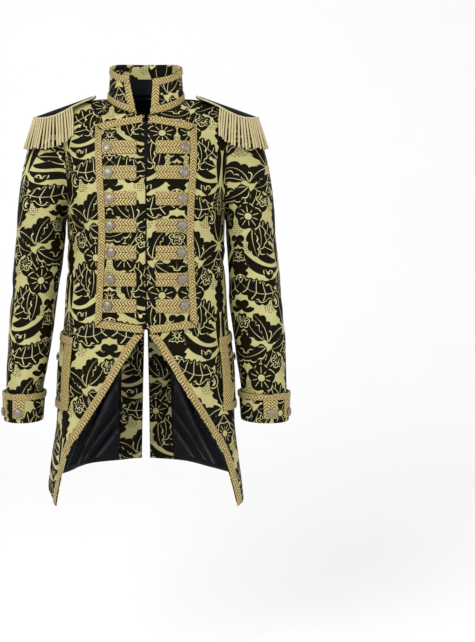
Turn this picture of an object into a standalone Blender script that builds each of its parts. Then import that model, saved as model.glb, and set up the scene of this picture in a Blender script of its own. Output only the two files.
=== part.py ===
"""Ringmaster jacket: a long cutaway tailcoat in brocade, worn and hollow, with frogs and epaulettes.

Metres, +Z up. The front faces -Y, and the wearer's right side is -X. The origin is the centre of
the neck opening at the base of the collar. Cloth pieces are thin walls on the surfaces below, and
everything that lies on them is made from their points, moved out.
"""

import math
from functools import partial

import bmesh
import bpy
import numpy as np
from mathutils import Vector
from mathutils.bvhtree import BVHTree


def table(columns, *rows):
    """A small table with named columns, as one array for each column."""
    return dict(zip(columns.split(), np.array(rows, float).T))


SIDES = {"right": -1.0, "left": 1.0}

CLOTH = 0.0020          # brocade with its interlining
SATIN = 0.0012          # lining and underlap
BRAID = 0.0022          # woven trimming braid
SEAM = 0.0003           # gap between pieces at a seam
LIFT = 0.0006           # gap under what lies on a panel
INSIDE_GAP = 0.0006     # gap between a panel and what lines it

BRAID_WIDTH = 0.0155
EDGE_LIFT = 0.0010      # gap under the long edge braids, whose cells are wider
EDGE_INSET = 0.0010     # braid stays this far inside a cloth edge
EDGE_REACH = 0.25       # share of a panel's width that an edge braid stays within

# Body form: half width at the side, depth of the front half and of the back half.
SQUARE = 0.88           # below 1 makes the sections fuller than an ellipse
STEP = 0.002            # change of a surface's parameter that gives its direction
TORSO = table(
    "z half_width front_depth back_depth",
    (-0.900, 0.2215, 0.152, 0.172),
    (-0.840, 0.2150, 0.150, 0.166),
    (-0.790, 0.2080, 0.147, 0.160),
    (-0.710, 0.1995, 0.143, 0.152),
    (-0.600, 0.1950, 0.137, 0.142),
    (-0.545, 0.1890, 0.130, 0.130),
    (-0.490, 0.1830, 0.123, 0.117),
    (-0.430, 0.1800, 0.123, 0.112),
    (-0.360, 0.1750, 0.129, 0.117),
    (-0.265, 0.1770, 0.130, 0.126),
    (-0.150, 0.1880, 0.115, 0.128),
)

# Soft flutes of the hanging skirt: angle from centre front, half width, depth at the hem, top.
FLUTES = {
    "right": table(
        "angle spread depth top",
        (50, 9, 0.007, -0.60), (74, 11, -0.006, -0.62), (101, 10, 0.008, -0.56),
        (124, 9, -0.007, -0.60), (146, 10, 0.009, -0.55), (166, 8, -0.005, -0.62),
    ),
    "left": table(
        "angle spread depth top",
        (46, 8, -0.005, -0.62), (66, 10, 0.006, -0.58), (92, 11, -0.007, -0.60),
        (113, 9, 0.008, -0.57), (138, 11, -0.006, -0.61), (158, 9, 0.007, -0.54),
    ),
}
FLUTE_FOOT = -0.90

# Collar: a stand 80 mm high. Heights are A cos + B cos^2 round the neck, as front and back ends.
NECK_HALF_WIDTH = 0.085
NECK_HALF_DEPTH = 0.066
COLLAR_TOP_HALF_WIDTH = 0.0795
COLLAR_TOP_HALF_DEPTH = 0.060
NECK_FRONT_Z, NECK_SIDE_Z, NECK_BACK_Z = -0.043, 0.0, 0.013
COLLAR_FRONT_Z, COLLAR_SIDE_Z, COLLAR_BACK_Z = 0.037, 0.074, 0.091
COLLAR_LENGTH = 0.46
COLLAR_GAP = 0.0008     # over the neck edge of the panels, whose sections are coarser
COLLAR_OPENING = {"right": (0.020, 0.037), "left": (0.009, 0.014)}   # x of the end, base and top
COLLAR_COLUMNS = 27
COLLAR_BRAID_LEVELS = (0.02, 0.21, 0.5, 0.79, 0.98)     # shares of the collar's height

# Yoke: from the level of V_YOKE the panels turn over the shoulder to the seam.
V_YOKE = 0.86
V_UNDERARM = 0.72
ARM_ROWS = np.array([0.72, 0.745, 0.78, 0.82, 0.86, 0.895, 0.93, 0.961, 0.983, 1.0])
YOKE_RISE = 0.10
NECK_SIDE_ANGLE = math.radians(95.0)
SHOULDER_TIP = (0.200, 0.004, -0.027)
SHOULDER_RISE = 0.030   # how far the shoulder line bows up between the neck and the tip
U_NECK = 0.5            # share of a panel's top edge that is neckline

# Fronts: heights at the front edge and at the side, and the angle of the side edge.
FRONT_ROWS = table(
    "v z_edge z_side side_angle",
    (0.000, -0.890, -0.866, 95),
    (0.100, -0.830, -0.810, 95),
    (0.220, -0.740, -0.735, 95),
    (0.380, -0.600, -0.610, 95),
    (0.480, -0.513, -0.520, 95),
    (0.600, -0.400, -0.400, 95),
    (0.720, -0.285, -0.267, 95),
    (0.745, -0.260, -0.258, 88),
    (0.780, -0.227, -0.238, 79),
    (0.820, -0.188, -0.198, 71),
    (0.860, -0.150, -0.150, 68),
)
FRONT_EDGE = table(      # half distance between the fronts: cutaway, closed front, neck
    "z x",
    (-0.890, 0.1945), (-0.850, 0.1865), (-0.822, 0.1795), (-0.7725, 0.1650), (-0.711, 0.1287),
    (-0.641, 0.0850), (-0.578, 0.0475), (-0.540, 0.0230), (-0.513, 0.0045), (-0.500, 0.0014),
    (-0.180, 0.0014), (-0.130, 0.0055), (-0.040, 0.0060),
)
FRONT_YOKE_END = table(  # direction in which the panel reaches its top edge
    "u dx dy dz", (0.0, 0.0, 0.045, 0.075), (0.5, -0.020, 0.100, 0.0), (1.0, 0.020, 0.115, 0.0),
)

BACK_ROWS = table(
    "v z_edge z_side side_angle",
    (0.000, -0.843, -0.866, 95),
    (0.100, -0.790, -0.810, 95),
    (0.220, -0.720, -0.735, 95),
    (0.380, -0.600, -0.610, 95),
    (0.480, -0.510, -0.520, 95),
    (0.600, -0.395, -0.400, 95),
    (0.720, -0.270, -0.267, 95),
    (0.745, -0.247, -0.258, 101),
    (0.780, -0.215, -0.238, 108),
    (0.820, -0.182, -0.198, 113),
    (0.860, -0.150, -0.150, 115),
)
VENT = table(            # half distance between the backs: open vent, then the closed seam
    "z x", (-0.850, 0.0100), (-0.700, 0.0075), (-0.540, 0.0040), (-0.430, 0.0016),
    (-0.414, 0.00025), (0.020, 0.00025),
)
VENT_BUTTON_X = 0.0112
VENT_BUTTON_Z = -0.419
BACK_YOKE_END = table(
    "u dx dy dz", (0.0, 0.0, -0.030, 0.085), (0.5, -0.020, -0.095, 0.0), (1.0, 0.020, -0.120, 0.0),
)

# Sleeves: inner and outer side, half depth and middle of each section.
SLEEVES = {
    "right": table(
        "z inner outer half_depth middle",
        (-0.745, 0.2320, 0.3125, 0.0510, -0.024),
        (-0.655, 0.2305, 0.3115, 0.0525, -0.016),
        (-0.600, 0.2210, 0.3110, 0.0570, -0.010),
        (-0.5445, 0.2115, 0.3090, 0.0610, -0.003),
        (-0.4635, 0.2020, 0.3045, 0.0655, 0.000),
        (-0.380, 0.1885, 0.2975, 0.0690, -0.004),
        (-0.300, 0.1795, 0.2890, 0.0710, -0.006),
    ),
    "left": table(
        "z inner outer half_depth middle",
        (-0.745, 0.2150, 0.3145, 0.0510, -0.024),
        (-0.655, 0.2130, 0.3135, 0.0525, -0.016),
        (-0.600, 0.2065, 0.3130, 0.0570, -0.010),
        (-0.5445, 0.1990, 0.3130, 0.0610, -0.003),
        (-0.4635, 0.1895, 0.3065, 0.0655, 0.000),
        (-0.380, 0.1850, 0.2985, 0.0690, -0.004),
        (-0.300, 0.1795, 0.2890, 0.0710, -0.006),
    ),
}
SLEEVE_HEAD_END = -0.300
SLEEVE_END = -0.7115
Q_HEAD = 0.36           # share of the sleeve's length that is its head
HEAD_OUT = (0.020, 0.200)    # pull outward at the underarm and at the top
HEAD_DOWN = (0.040, 0.300)   # pull down at the end of the head, the same way

# Largest creases of the sleeves: height, place round the sleeve, spread of both, depth.
SLEEVE_CREASES = {
    "right": table(
        "z around height spread depth",
        (-0.395, 0.20, 0.020, 0.14, -0.0050), (-0.440, 0.42, 0.022, 0.12, -0.0045),
        (-0.475, 0.24, 0.018, 0.15, 0.0045), (-0.520, 0.16, 0.018, 0.13, -0.0050),
        (-0.580, 0.30, 0.022, 0.15, -0.0035), (-0.430, 0.78, 0.024, 0.16, -0.0050),
        (-0.520, 0.70, 0.022, 0.14, 0.0040), (-0.600, 0.80, 0.022, 0.14, -0.0035),
    ),
    "left": table(
        "z around height spread depth",
        (-0.370, 0.24, 0.022, 0.13, -0.0045), (-0.425, 0.15, 0.020, 0.15, 0.0045),
        (-0.465, 0.30, 0.018, 0.14, -0.0055), (-0.510, 0.38, 0.020, 0.12, -0.0040),
        (-0.560, 0.18, 0.022, 0.15, 0.0040), (-0.410, 0.72, 0.022, 0.15, -0.0050),
        (-0.490, 0.80, 0.024, 0.14, 0.0040), (-0.570, 0.74, 0.022, 0.15, -0.0040),
    ),
}

CUFF_TOP = -0.650
CUFF_BOTTOM = -0.713
CUFF_STAND = (0.0032, 0.0062)    # how far it stands off the sleeve, at the bottom and at the top
CUFF_STRIP_Z = -0.7030           # lower end of the upright strips
CUFF_STRIPS = (0.268, 0.415)     # their middles round the cuff
CUFF_STRIP_HALF = 0.045          # half their width, as a share of the way round
CUFF_BUTTON_Z = -0.692
CUFF_COLUMNS = (0.02, 0.08, 0.15, *(m + s * CUFF_STRIP_HALF for m in CUFF_STRIPS for s in (-1, 0, 1)))
CUFF_PLAIN_COLUMNS = (0.52, 0.96, 9)        # first, last and how many beyond the strips
CUFF_BRAID_LEVELS = (0.5, 0.79, 0.985)      # shares of the cuff's height above the strips' ends

# Front braid: frame from the neck to the waist, with a row for each frog.
BIB_TOP_Z = (-0.0545, -0.0725)   # middle of the top band, at the front edge and at the corner
BIB_BOTTOM_Z = (-0.5055, -0.4945)
BIB_FRONT_X = 0.0085
BIB_LIFT = 0.0014
BIB_REST_Z = -0.090              # a row between the highest frog and the top band
BIB_OUTER = table(               # outer edge of the frame
    "z x", (-0.500, 0.1080), (-0.437, 0.1055), (-0.369, 0.1020), (-0.293, 0.0997),
    (-0.235, 0.1020), (-0.178, 0.1058), (-0.123, 0.1085), (-0.065, 0.1105),
)
BIB_BAR = 0.0140                 # width of its upright braid, seen from the front
BIB_BRIDGE = 0.0012              # from the frogs' ends to the upright braid
FROG_START = 0.0205
FROG_COLUMNS = 5
FROG_HEIGHT = 0.0290
FROGS = table(
    "z button_x",
    (-0.1185, 0.0840), (-0.1730, 0.0803), (-0.2291, 0.0775), (-0.2862, 0.0763),
    (-0.3428, 0.0740), (-0.4000, 0.0757), (-0.4557, 0.0815),
)

# Columns and rows of the panels' own grids, which meet the sleeves.
FRONT_U = np.array([
    0.0, 0.052, 0.110, 0.168, 0.226, 0.285, 0.3505, 0.44, 0.54, 0.65, 0.77, 0.89, 1.0,
])
FRONT_V = np.array([*np.linspace(0.0, 0.38, 8), 0.43, 0.46, 0.48, 0.54, 0.60, 0.66, *ARM_ROWS])
BACK_U = np.array([0.0, 0.085, 0.170, 0.30, 0.44, 0.56, 0.68, 0.79, 0.89, 1.0])
BACK_V = np.array([*np.linspace(0.0, 0.4705, 9), 0.53, 0.60, 0.66, *ARM_ROWS])
SLEEVE_Q = np.array([*(Q_HEAD * np.array([0.0, 0.14, 0.34, 0.56, 0.78])), *np.linspace(Q_HEAD, 1, 11)])

EDGE_BRAID_V = (0.003, 0.4765)   # ends of the cutaway braid: tail tip, below the front frame
VENT_BRAID_V = (0.006, 0.561)

FACING = 0.0012                  # brocade strip inside the vent edge
FACING_COLUMNS = 2
FACING_INSETS = dict(first_row=0.0020, last_row=0.0006, first_column=0.0005, last_column=0.0006)
LINING_JOIN_V = 0.53             # height at which the lining closes over the centre back
LINING_SLACK = 0.006             # soft folds of the skirt lining
LINING_INSETS = dict(first_row=0.0200, last_row=0.0040, first_column=0.0, last_column=0.0015)

UNDERLAP_HALF_WIDTH = 0.018
UNDERLAP_COLUMNS = (-1.0, -0.47, 0.47, 1.0)
UNDERLAP_Z = (-0.506, -0.070)
UNDERLAP_ROWS = 12

# Pocket flap round the side: angles of its front and back edges, heights at both.
FLAP_ANGLES = (54.0, 124.0)
FLAP_TOP_Z = (-0.527, -0.516)
FLAP_BOTTOM_Z = (-0.683, -0.688)
FLAP_COLUMNS = 13
FLAP_DOUBLE = 2                  # columns of the double braid at the front edge
FLAP_REST_LEVELS = (0.36, 0.64)  # rows between the bands, as shares of the flap's height
FLAP_LIFT = 0.0019               # the flap hangs a little off the flutes of the skirt
FLAP_CLOTH = 0.0016
POCKET_BUTTON = (90.0, -0.577)

# Epaulette: a strap that widens to a round outer end, along X from the neck.
BOARD_START = 0.1185
BOARD_MIDDLE_Y = 0.003
BOARD_THICKNESS = 0.0035
BOARD_CLEAR = 0.0012             # over the highest cloth below it
BOARD_STRAP = table(
    "along half_width", (0.0, 0.0190), (0.0025, 0.0232), (0.0070, 0.0258), (0.022, 0.0272),
    (0.042, 0.0325),
)
BOARD_ROUND_CENTRE = 0.083
BOARD_ROUND_RADIUS = 0.0475
BOARD_ROUND_ANGLES = (-25, 0, 20, 38, 55, 70, 83)
BOARD_COLUMNS = 5
BOARD_SLOPE = 0.36               # fall towards the outer end
BOARD_DROP = 6.0                 # fall to the front and back, per metre of distance squared
BOARD_TILT = 0.15                # rise towards the back
CORD = 0.0042                    # twisted cord round the board
CORD_OUT = 0.00336               # from the board's edge to the cord's middle
CORD_RISE = 0.00232              # from the board's underside to the cord's middle
RIM_STEPS = 88                   # steps of the cord; every other one beside the arm has a strand
STRAND_LENGTH = 0.074
STRAND_WIDTH = 0.0034
FRINGE_START = 0.040             # distance from the neck end where the fringe begins
STRAND_CLEAR = 0.0042            # from a strand's middle to the cloth it hangs on
STRAND_LEAN = 0.22               # outward for each unit of fall
STRAND_WALK = 16                 # steps in which a strand is laid
STRAND_STEPS = (5, 10, 16)       # steps at which it may bend

BUTTON_RADIUS = {"front": 0.0100, "cuff": 0.0095, "vent": 0.0085, "pocket": 0.0095}
BUTTON_SIDES = 10
BUTTON_SHANK = 0.0030            # radius
BUTTON_SHANK_TOP = 0.0016        # heights above the cloth from here on
BUTTON_RIM = 0.0022
BUTTON_SHOULDER = (0.72, 0.0044)     # share of the radius, height
BUTTON_CROWN = 0.0054

MATERIALS = {                    # colour, roughness, metallic
    "brocade": ((0.42, 0.39, 0.14), 0.70, 0.0),
    "braid": ((0.44, 0.34, 0.13), 0.55, 0.1),
    "cord": ((0.66, 0.57, 0.33), 0.55, 0.0),
    "velvet": ((0.008, 0.008, 0.009), 0.90, 0.0),
    "satin": ((0.012, 0.011, 0.015), 0.35, 0.0),
    "pewter": ((0.33, 0.31, 0.28), 0.40, 0.9),
}


def read(rows, column, at, by="z"):
    """A column's value at a place between the rows, on a smooth curve without overshoot."""
    order = np.argsort(rows[by])
    xs, ys = rows[by][order], rows[column][order]
    step = np.diff(xs)
    slope = np.diff(ys) / step
    tangent = np.empty_like(ys)
    tangent[0], tangent[-1] = slope[0], slope[-1]
    product = slope[:-1] * slope[1:]
    total = np.where(slope[:-1] + slope[1:] == 0, 1.0, slope[:-1] + slope[1:])
    tangent[1:-1] = np.where(product > 0, 2 * product / total, 0.0)
    at = np.clip(at, xs[0], xs[-1])
    i = np.clip(np.searchsorted(xs, at) - 1, 0, len(xs) - 2)
    t = (at - xs[i]) / step[i]
    return hermite(ys[i], tangent[i] * step[i], ys[i + 1], tangent[i + 1] * step[i], t)


def hermite(start, start_pull, end, end_pull, t):
    """Cubic from start to end with the given tangents."""
    return (
        start * (2 * t**3 - 3 * t**2 + 1) + start_pull * (t**3 - 2 * t**2 + t)
        + end * (3 * t**2 - 2 * t**3) + end_pull * (t**3 - t**2)
    )


def vectors(x, y, z):
    """One array of points from three arrays of coordinates."""
    return np.stack(np.broadcast_arrays(x, y, z), axis=-1).astype(float)


def cosine_heights(front, side, back, angle):
    """A height round the neck that passes through its front, side and back values."""
    c = np.cos(angle)
    return side + 0.5 * (front - back) * c + (0.5 * (front + back) - side) * c**2


def torso(side, angle, z):
    """Body form at an angle from centre front, for the wearer's left side; the right is mirrored."""
    s, c = np.sin(angle), np.cos(angle)
    depth = np.where(c > 0, read(TORSO, "front_depth", z), read(TORSO, "back_depth", z))
    flute = np.zeros(np.broadcast(angle, z).shape)
    rows = FLUTES[side]
    for middle, spread, deep, top in zip(rows["angle"], rows["spread"], rows["depth"], rows["top"]):
        fall = np.clip((top - z) / (top - FLUTE_FOOT), 0.0, 1.0)
        flute = flute + deep * fall**1.3 * np.exp(-((np.degrees(angle) - middle) / spread) ** 2)
    x = read(TORSO, "half_width", z) * np.abs(s) ** SQUARE + flute * s
    y = -np.sign(c) * depth * np.abs(c) ** SQUARE - flute * c
    return vectors(x, y, z)


def angle_at(x, z, back=False):
    """Angle of the torso point that lies x from the middle."""
    angle = np.arcsin(np.clip(x / read(TORSO, "half_width", z), 0.0, 1.0) ** (1 / SQUARE))
    return math.pi - angle if back else angle


def neck(angle):
    """Neck line at the base of the collar."""
    z = cosine_heights(NECK_FRONT_Z, NECK_SIDE_Z, NECK_BACK_Z, angle)
    return vectors(NECK_HALF_WIDTH * np.sin(angle), -NECK_HALF_DEPTH * np.cos(angle), z)


def panel(side, rows, edge, yoke_end, back, u, v):
    """A body panel: u from its centre edge to its side, v from the hem to the shoulder seam."""
    u, v = np.broadcast_arrays(np.asarray(u, float), np.asarray(v, float))
    low = np.minimum(v, V_YOKE)
    z_edge = read(rows, "z_edge", low, "v")
    z_side = read(rows, "z_side", low, "v")
    x_edge = read(edge, "x", z_edge)
    start = angle_at(x_edge, z_edge, back)
    seam = SEAM / 2 / NECK_HALF_WIDTH * (1 if back else -1)
    end = np.radians(read(rows, "side_angle", low, "v")) + seam * 0.5
    angle = start + (end - start) * u
    z = z_edge + (z_side - z_edge) * u
    body = torso(side, angle, z)
    drop = 0.01
    lean = (body - torso(side, angle, z - drop)) / drop * YOKE_RISE
    neck_start = np.arcsin(np.clip(x_edge / NECK_HALF_WIDTH, 0.0, 1.0))
    if back:
        neck_start = math.pi - neck_start
    round_neck = np.clip(u / U_NECK, 0.0, 1.0)
    top = neck(neck_start + (NECK_SIDE_ANGLE - neck_start) * round_neck)
    along = np.clip((u - U_NECK) / (1 - U_NECK), 0.0, 1.0)[..., None]
    tip = np.array(SHOULDER_TIP)
    top = top + (tip - neck(NECK_SIDE_ANGLE)) * along
    top = top + np.array([0.0, 0.0, SHOULDER_RISE]) * along * (1 - along)
    top[..., 1] += np.where(u > U_NECK * 0.9, SEAM * 0.7, 0.0) * (1 if back else -1)
    arrive = vectors(*(read(yoke_end, key, u, "u") for key in ("dx", "dy", "dz")))
    t = np.clip((v - V_YOKE) / (1 - V_YOKE), 0.0, 1.0)[..., None]
    return hermite(body, lean, top, arrive, t)


def front_surface(side, u, v):
    return panel(side, FRONT_ROWS, FRONT_EDGE, FRONT_YOKE_END, False, u, v)


def back_surface(side, u, v):
    return panel(side, BACK_ROWS, VENT, BACK_YOKE_END, True, u, v)


def run_length(curve):
    """Distance along a curve of points from its start."""
    return np.concatenate([[0.0], np.cumsum(np.linalg.norm(np.diff(curve, axis=0), axis=1))])


def armhole_halves(side):
    """Fine armhole curves: the front from the underarm up, then the back down again."""
    v = np.linspace(V_UNDERARM, 1.0, 141)
    return v, (front_surface(side, 1.0, v), back_surface(side, 1.0, v[::-1]))


def sleeve_columns(side):
    """Places round the sleeve that meet the rows of the body panels at the armhole."""
    v, (front, back) = armhole_halves(side)
    rise, fall = run_length(front), run_length(back)
    up = np.interp(ARM_ROWS, v, rise) / rise[-1]
    down = np.interp(ARM_ROWS[::-1], v, fall[::-1]) / fall[-1]
    return np.concatenate([up[:-1] / 2, 0.5 + down[:-1] / 2])


def armhole(side, p):
    """Armhole: p from the underarm up the front edge to the shoulder tip, and down the back."""
    _, halves = armhole_halves(side)
    point = np.zeros(np.shape(p) + (3,))
    for number, curve in enumerate(halves):
        length = run_length(curve)
        share = np.clip(2 * p - number, 0.0, 1.0) * length[-1]
        found = vectors(*(np.interp(share, length, curve[:, axis]) for axis in range(3)))
        point = np.where(((p > 0.5) == (number == 1))[..., None], found, point)
    return point


def sleeve_ring(side, p, z):
    """Sleeve section at a height: p = 0 faces the body, 0.25 the front, 0.5 outward."""
    rows = SLEEVES[side]
    inner, outer = read(rows, "inner", z), read(rows, "outer", z)
    phi = 2 * math.pi * p
    x = (inner + outer) / 2 - (outer - inner) / 2 * np.cos(phi)
    y = read(rows, "middle", z) - read(rows, "half_depth", z) * np.sin(phi)
    return vectors(x, y, z)


def sleeve_crease(side, p, z):
    """How far the sleeve's larger creases move its surface."""
    rows = SLEEVE_CREASES[side]
    move = np.zeros(np.broadcast(p, z).shape)
    for level, around, height, spread, depth in zip(*rows.values()):
        turn = (p - around + 0.5) % 1.0 - 0.5
        slant = z - level - 0.12 * turn
        move = move + depth * np.exp(-((slant / height) ** 2) - (turn / spread) ** 2)
    return move


def sleeve_surface(side, p, q):
    """Sleeve from the armhole, q = 0, to its end."""
    p, q = np.broadcast_arrays(np.asarray(p, float), np.asarray(q, float))
    head = armhole(side, p) + np.array([SEAM * 1.4, 0.0, 0.0])
    top_share = (1 - np.cos(2 * math.pi * p)) / 2
    out = HEAD_OUT[0] + (HEAD_OUT[1] - HEAD_OUT[0]) * top_share**1.2
    down = HEAD_DOWN[0] + (HEAD_DOWN[1] - HEAD_DOWN[0]) * top_share
    t = np.clip(q / Q_HEAD, 0.0, 1.0)[..., None]
    below = np.clip((q - Q_HEAD) / (1 - Q_HEAD), 0.0, 1.0)
    z = SLEEVE_HEAD_END + (SLEEVE_END - SLEEVE_HEAD_END) * below
    ring = sleeve_ring(side, p, z)
    first_ring = sleeve_ring(side, p, np.full_like(z, SLEEVE_HEAD_END))
    cap = hermite(head, vectors(out, 0.0, 0.0), first_ring, vectors(0.0, 0.0, -down), t)
    point = np.where((q <= Q_HEAD)[..., None], cap, ring)
    phi = 2 * math.pi * p
    outward = vectors(-np.cos(phi), -np.sin(phi), 0.0)
    return point + outward * sleeve_crease(side, p, point[..., 2])[..., None]


def cuff_surface(side, p, h):
    """Outer face of the turned-back cuff, h = 0 at the wrist."""
    z = CUFF_BOTTOM + (CUFF_TOP - CUFF_BOTTOM) * h
    phi = 2 * math.pi * p
    stand = CUFF_STAND[0] + (CUFF_STAND[1] - CUFF_STAND[0]) * h
    outward = vectors(-np.cos(phi), -np.sin(phi), 0.0)
    return sleeve_ring(side, p, z) + outward * stand[..., None]


def collar_surface(angle, h):
    """Outer face of the stand collar at a signed angle from centre front."""
    base = neck(angle)
    base[..., 2] += COLLAR_GAP
    z = cosine_heights(COLLAR_FRONT_Z, COLLAR_SIDE_Z, COLLAR_BACK_Z, angle)
    top = vectors(COLLAR_TOP_HALF_WIDTH * np.sin(angle), -COLLAR_TOP_HALF_DEPTH * np.cos(angle), z)
    return base + (top - base) * np.asarray(h)[..., None]


def layer(surface, first, second, sign, inside=None, wrap=False):
    """Points of a surface and its outward normals, on the wanted side of the body.

    The surface takes two parameters. A share from 0 to 1 is kept inside that range, or wrapped
    round where the first one closes on itself.
    """
    first, second = np.broadcast_arrays(np.asarray(first, float), np.asarray(second, float))
    points = surface(first, second)

    def shifted(a, b):
        if wrap:
            return surface(a % 1.0, np.clip(b, second.min(), second.max()))
        a = np.clip(a, first.min(), first.max())
        return surface(a, np.clip(b, second.min(), second.max()))

    across = shifted(first + STEP, second) - shifted(first - STEP, second)
    along = shifted(first, second + STEP) - shifted(first, second - STEP)
    n = np.cross(across, along)
    n /= np.maximum(np.linalg.norm(n, axis=-1, keepdims=True), 1e-12)
    if inside is None:
        inside = points * np.array([0.6, 0.0, 1.0]) - np.array([0.0, 0.0, 0.08])
    facing = np.sum(n * (points - inside), axis=-1, keepdims=True)
    n = np.where(facing < 0, -n, n)
    mirror = np.array([sign, 1.0, 1.0])
    return points * mirror, n * mirror


def cell_solid(outer, inner, mask=None, closed=False):
    """Vertices and faces of the slab between two grids, over the cells that the mask keeps."""
    rows, columns = outer.shape[:2]
    wide = columns if closed else columns - 1
    if mask is None:
        mask = np.ones((rows - 1, wide), bool)
    count = rows * columns
    vertices = np.concatenate([outer.reshape(-1, 3), inner.reshape(-1, 3)])

    def kept(r, c):
        if closed:
            c %= columns
        return 0 <= r < rows - 1 and 0 <= c < wide and mask[r, c]

    faces = []
    for r in range(rows - 1):
        for c in range(wide):
            if not mask[r, c]:
                continue
            d = (c + 1) % columns
            corners = [r * columns + c, r * columns + d, (r + 1) * columns + d, (r + 1) * columns + c]
            faces.append(corners)
            faces.append([k + count for k in reversed(corners)])
            around = ((r - 1, c), (r, c + 1), (r + 1, c), (r, c - 1))
            for k, neighbour in enumerate(around):
                if not kept(*neighbour):
                    a, b = corners[k], corners[(k + 1) % 4]
                    faces.append([b, a, a + count, b + count])
    return vertices, faces


def material(name):
    """The named Principled material, made once."""
    found = bpy.data.materials.get(name)
    if found:
        return found
    colour, roughness, metallic = MATERIALS[name]
    made = bpy.data.materials.new(name)
    made.use_nodes = True
    shader = made.node_tree.nodes["Principled BSDF"]
    shader.inputs["Base Color"].default_value = (*colour, 1.0)
    shader.inputs["Roughness"].default_value = roughness
    shader.inputs["Metallic"].default_value = metallic
    made.diffuse_color = (*colour, 1.0)
    return made


def piece(name, vertices, faces, finish):
    """One closed named object with its faces pointing out."""
    mesh = bpy.data.meshes.new(name)
    bm = bmesh.new()
    used = sorted({k for face in faces for k in face})
    made = {k: bm.verts.new(vertices[k]) for k in used}
    for face in faces:
        bm.faces.new([made[k] for k in face])
    bmesh.ops.triangulate(bm, faces=bm.faces[:])
    bmesh.ops.recalc_face_normals(bm, faces=bm.faces[:])
    bm.to_mesh(mesh)
    bm.free()
    mesh.materials.append(material(finish))
    mesh.shade_smooth()
    mesh.set_sharp_from_angle(angle=math.radians(40))
    made_object = bpy.data.objects.new(name, mesh)
    bpy.context.scene.collection.objects.link(made_object)
    return made_object


def slab(name, points, n, low, high, finish, mask=None, closed=False):
    """A cloth or braid piece between two distances from a surface, positive outward."""
    vertices, faces = cell_solid(points + n * high, points + n * low, mask, closed)
    return piece(name, vertices, faces, finish)


def tree_of(*objects):
    """Search tree over the outer faces of some walls, whose outer points come first."""
    vertices, faces = [], []
    for item in objects:
        base = len(vertices)
        vertices += [v.co.copy() for v in item.data.vertices]
        outer = len(item.data.vertices) // 2
        faces += [
            [k + base for k in p.vertices] for p in item.data.polygons if max(p.vertices) < outer
        ]
    return BVHTree.FromPolygons(vertices, faces)


def cast(tree, x, z):
    """Point and normal where the front is met at x and z, looking along +Y."""
    hit, normal, _, _ = tree.ray_cast(Vector((x, -1.0, z)), Vector((0.0, 1.0, 0.0)))
    return np.array(hit), np.array(normal)


def cast_grid(tree, xs, zs):
    """Points and normals of the front for a grid of x and z."""
    found = [[cast(tree, x, z) for x, z in zip(row_x, row_z)] for row_x, row_z in zip(xs, zs)]
    return (np.array([[item[k] for item in row] for row in found]) for k in (0, 1))


def make_fronts():
    made = {}
    for side, sign in SIDES.items():
        points, n = layer(partial(front_surface, side), FRONT_U[None, :], FRONT_V[:, None], sign)
        made[side] = slab(f"front_{side}", points, n, -CLOTH, 0.0, "brocade")
    return made


def pull_in(grid, points, first_row, last_row, first_column, last_column):
    """The grid with its edges moved inward, over the points, by the given distances."""
    grid = grid.copy()
    row_edges = ((first_row, 0, 1, 0), (last_row, -1, -2, 0))
    column_edges = ((first_column, 0, 1, 1), (last_column, -1, -2, 1))
    for distance, edge, neighbour, axis in row_edges + column_edges:
        if distance:
            take = [slice(None), slice(None)]
            take[axis] = edge
            away = [slice(None), slice(None)]
            away[axis] = neighbour
            gap = points[tuple(away)] - points[tuple(take)]
            share = distance / np.linalg.norm(gap, axis=-1, keepdims=True)
            grid[tuple(take)] += (grid[tuple(away)] - grid[tuple(take)]) * share
    return grid


def make_backs():
    """Backs with the vent facing and the satin lining inside them."""
    made = {}
    low = -CLOTH - INSIDE_GAP
    join_row = int(np.argmin(np.abs(BACK_V - LINING_JOIN_V)))
    slack = np.zeros(len(BACK_U))
    slack[FACING_COLUMNS + 1:-1:2] = 1.0
    fall = np.clip((LINING_JOIN_V - BACK_V) / LINING_JOIN_V, 0.0, 1.0)
    sag = (LINING_SLACK * fall[:, None] * slack[None, :])[..., None]
    mask = np.ones((len(BACK_V) - 1, len(BACK_U) - 1), bool)
    mask[:join_row, :FACING_COLUMNS] = False
    for side, sign in SIDES.items():
        points, n = layer(partial(back_surface, side), BACK_U[None, :], BACK_V[:, None], sign)
        made[side] = slab(f"back_{side}", points, n, -CLOTH, 0.0, "brocade")
        strip = (slice(join_row + 1), slice(FACING_COLUMNS + 1))
        over, under = (
            pull_in(points[strip] + n[strip] * level, points[strip], **FACING_INSETS)
            for level in (low, low - FACING)
        )
        piece(f"vent_facing_{side}", *cell_solid(over, under), "brocade")
        over, under = (
            pull_in(points + n * (level - sag), points, **LINING_INSETS)
            for level in (low, low - SATIN)
        )
        piece(f"back_lining_{side}", *cell_solid(over, under, mask), "satin")
    return made


def make_sleeves():
    made = {}
    q = SLEEVE_Q[:, None]
    for side, sign in SIDES.items():
        p = sleeve_columns(side)[None, :]
        inside = sleeve_surface(side, p, q).mean(axis=1, keepdims=True)
        points, n = layer(partial(sleeve_surface, side), p, q, sign, inside, True)
        made[side] = slab(f"sleeve_{side}", points, n, -CLOTH, 0.0, "brocade", closed=True)
    return made


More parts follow.
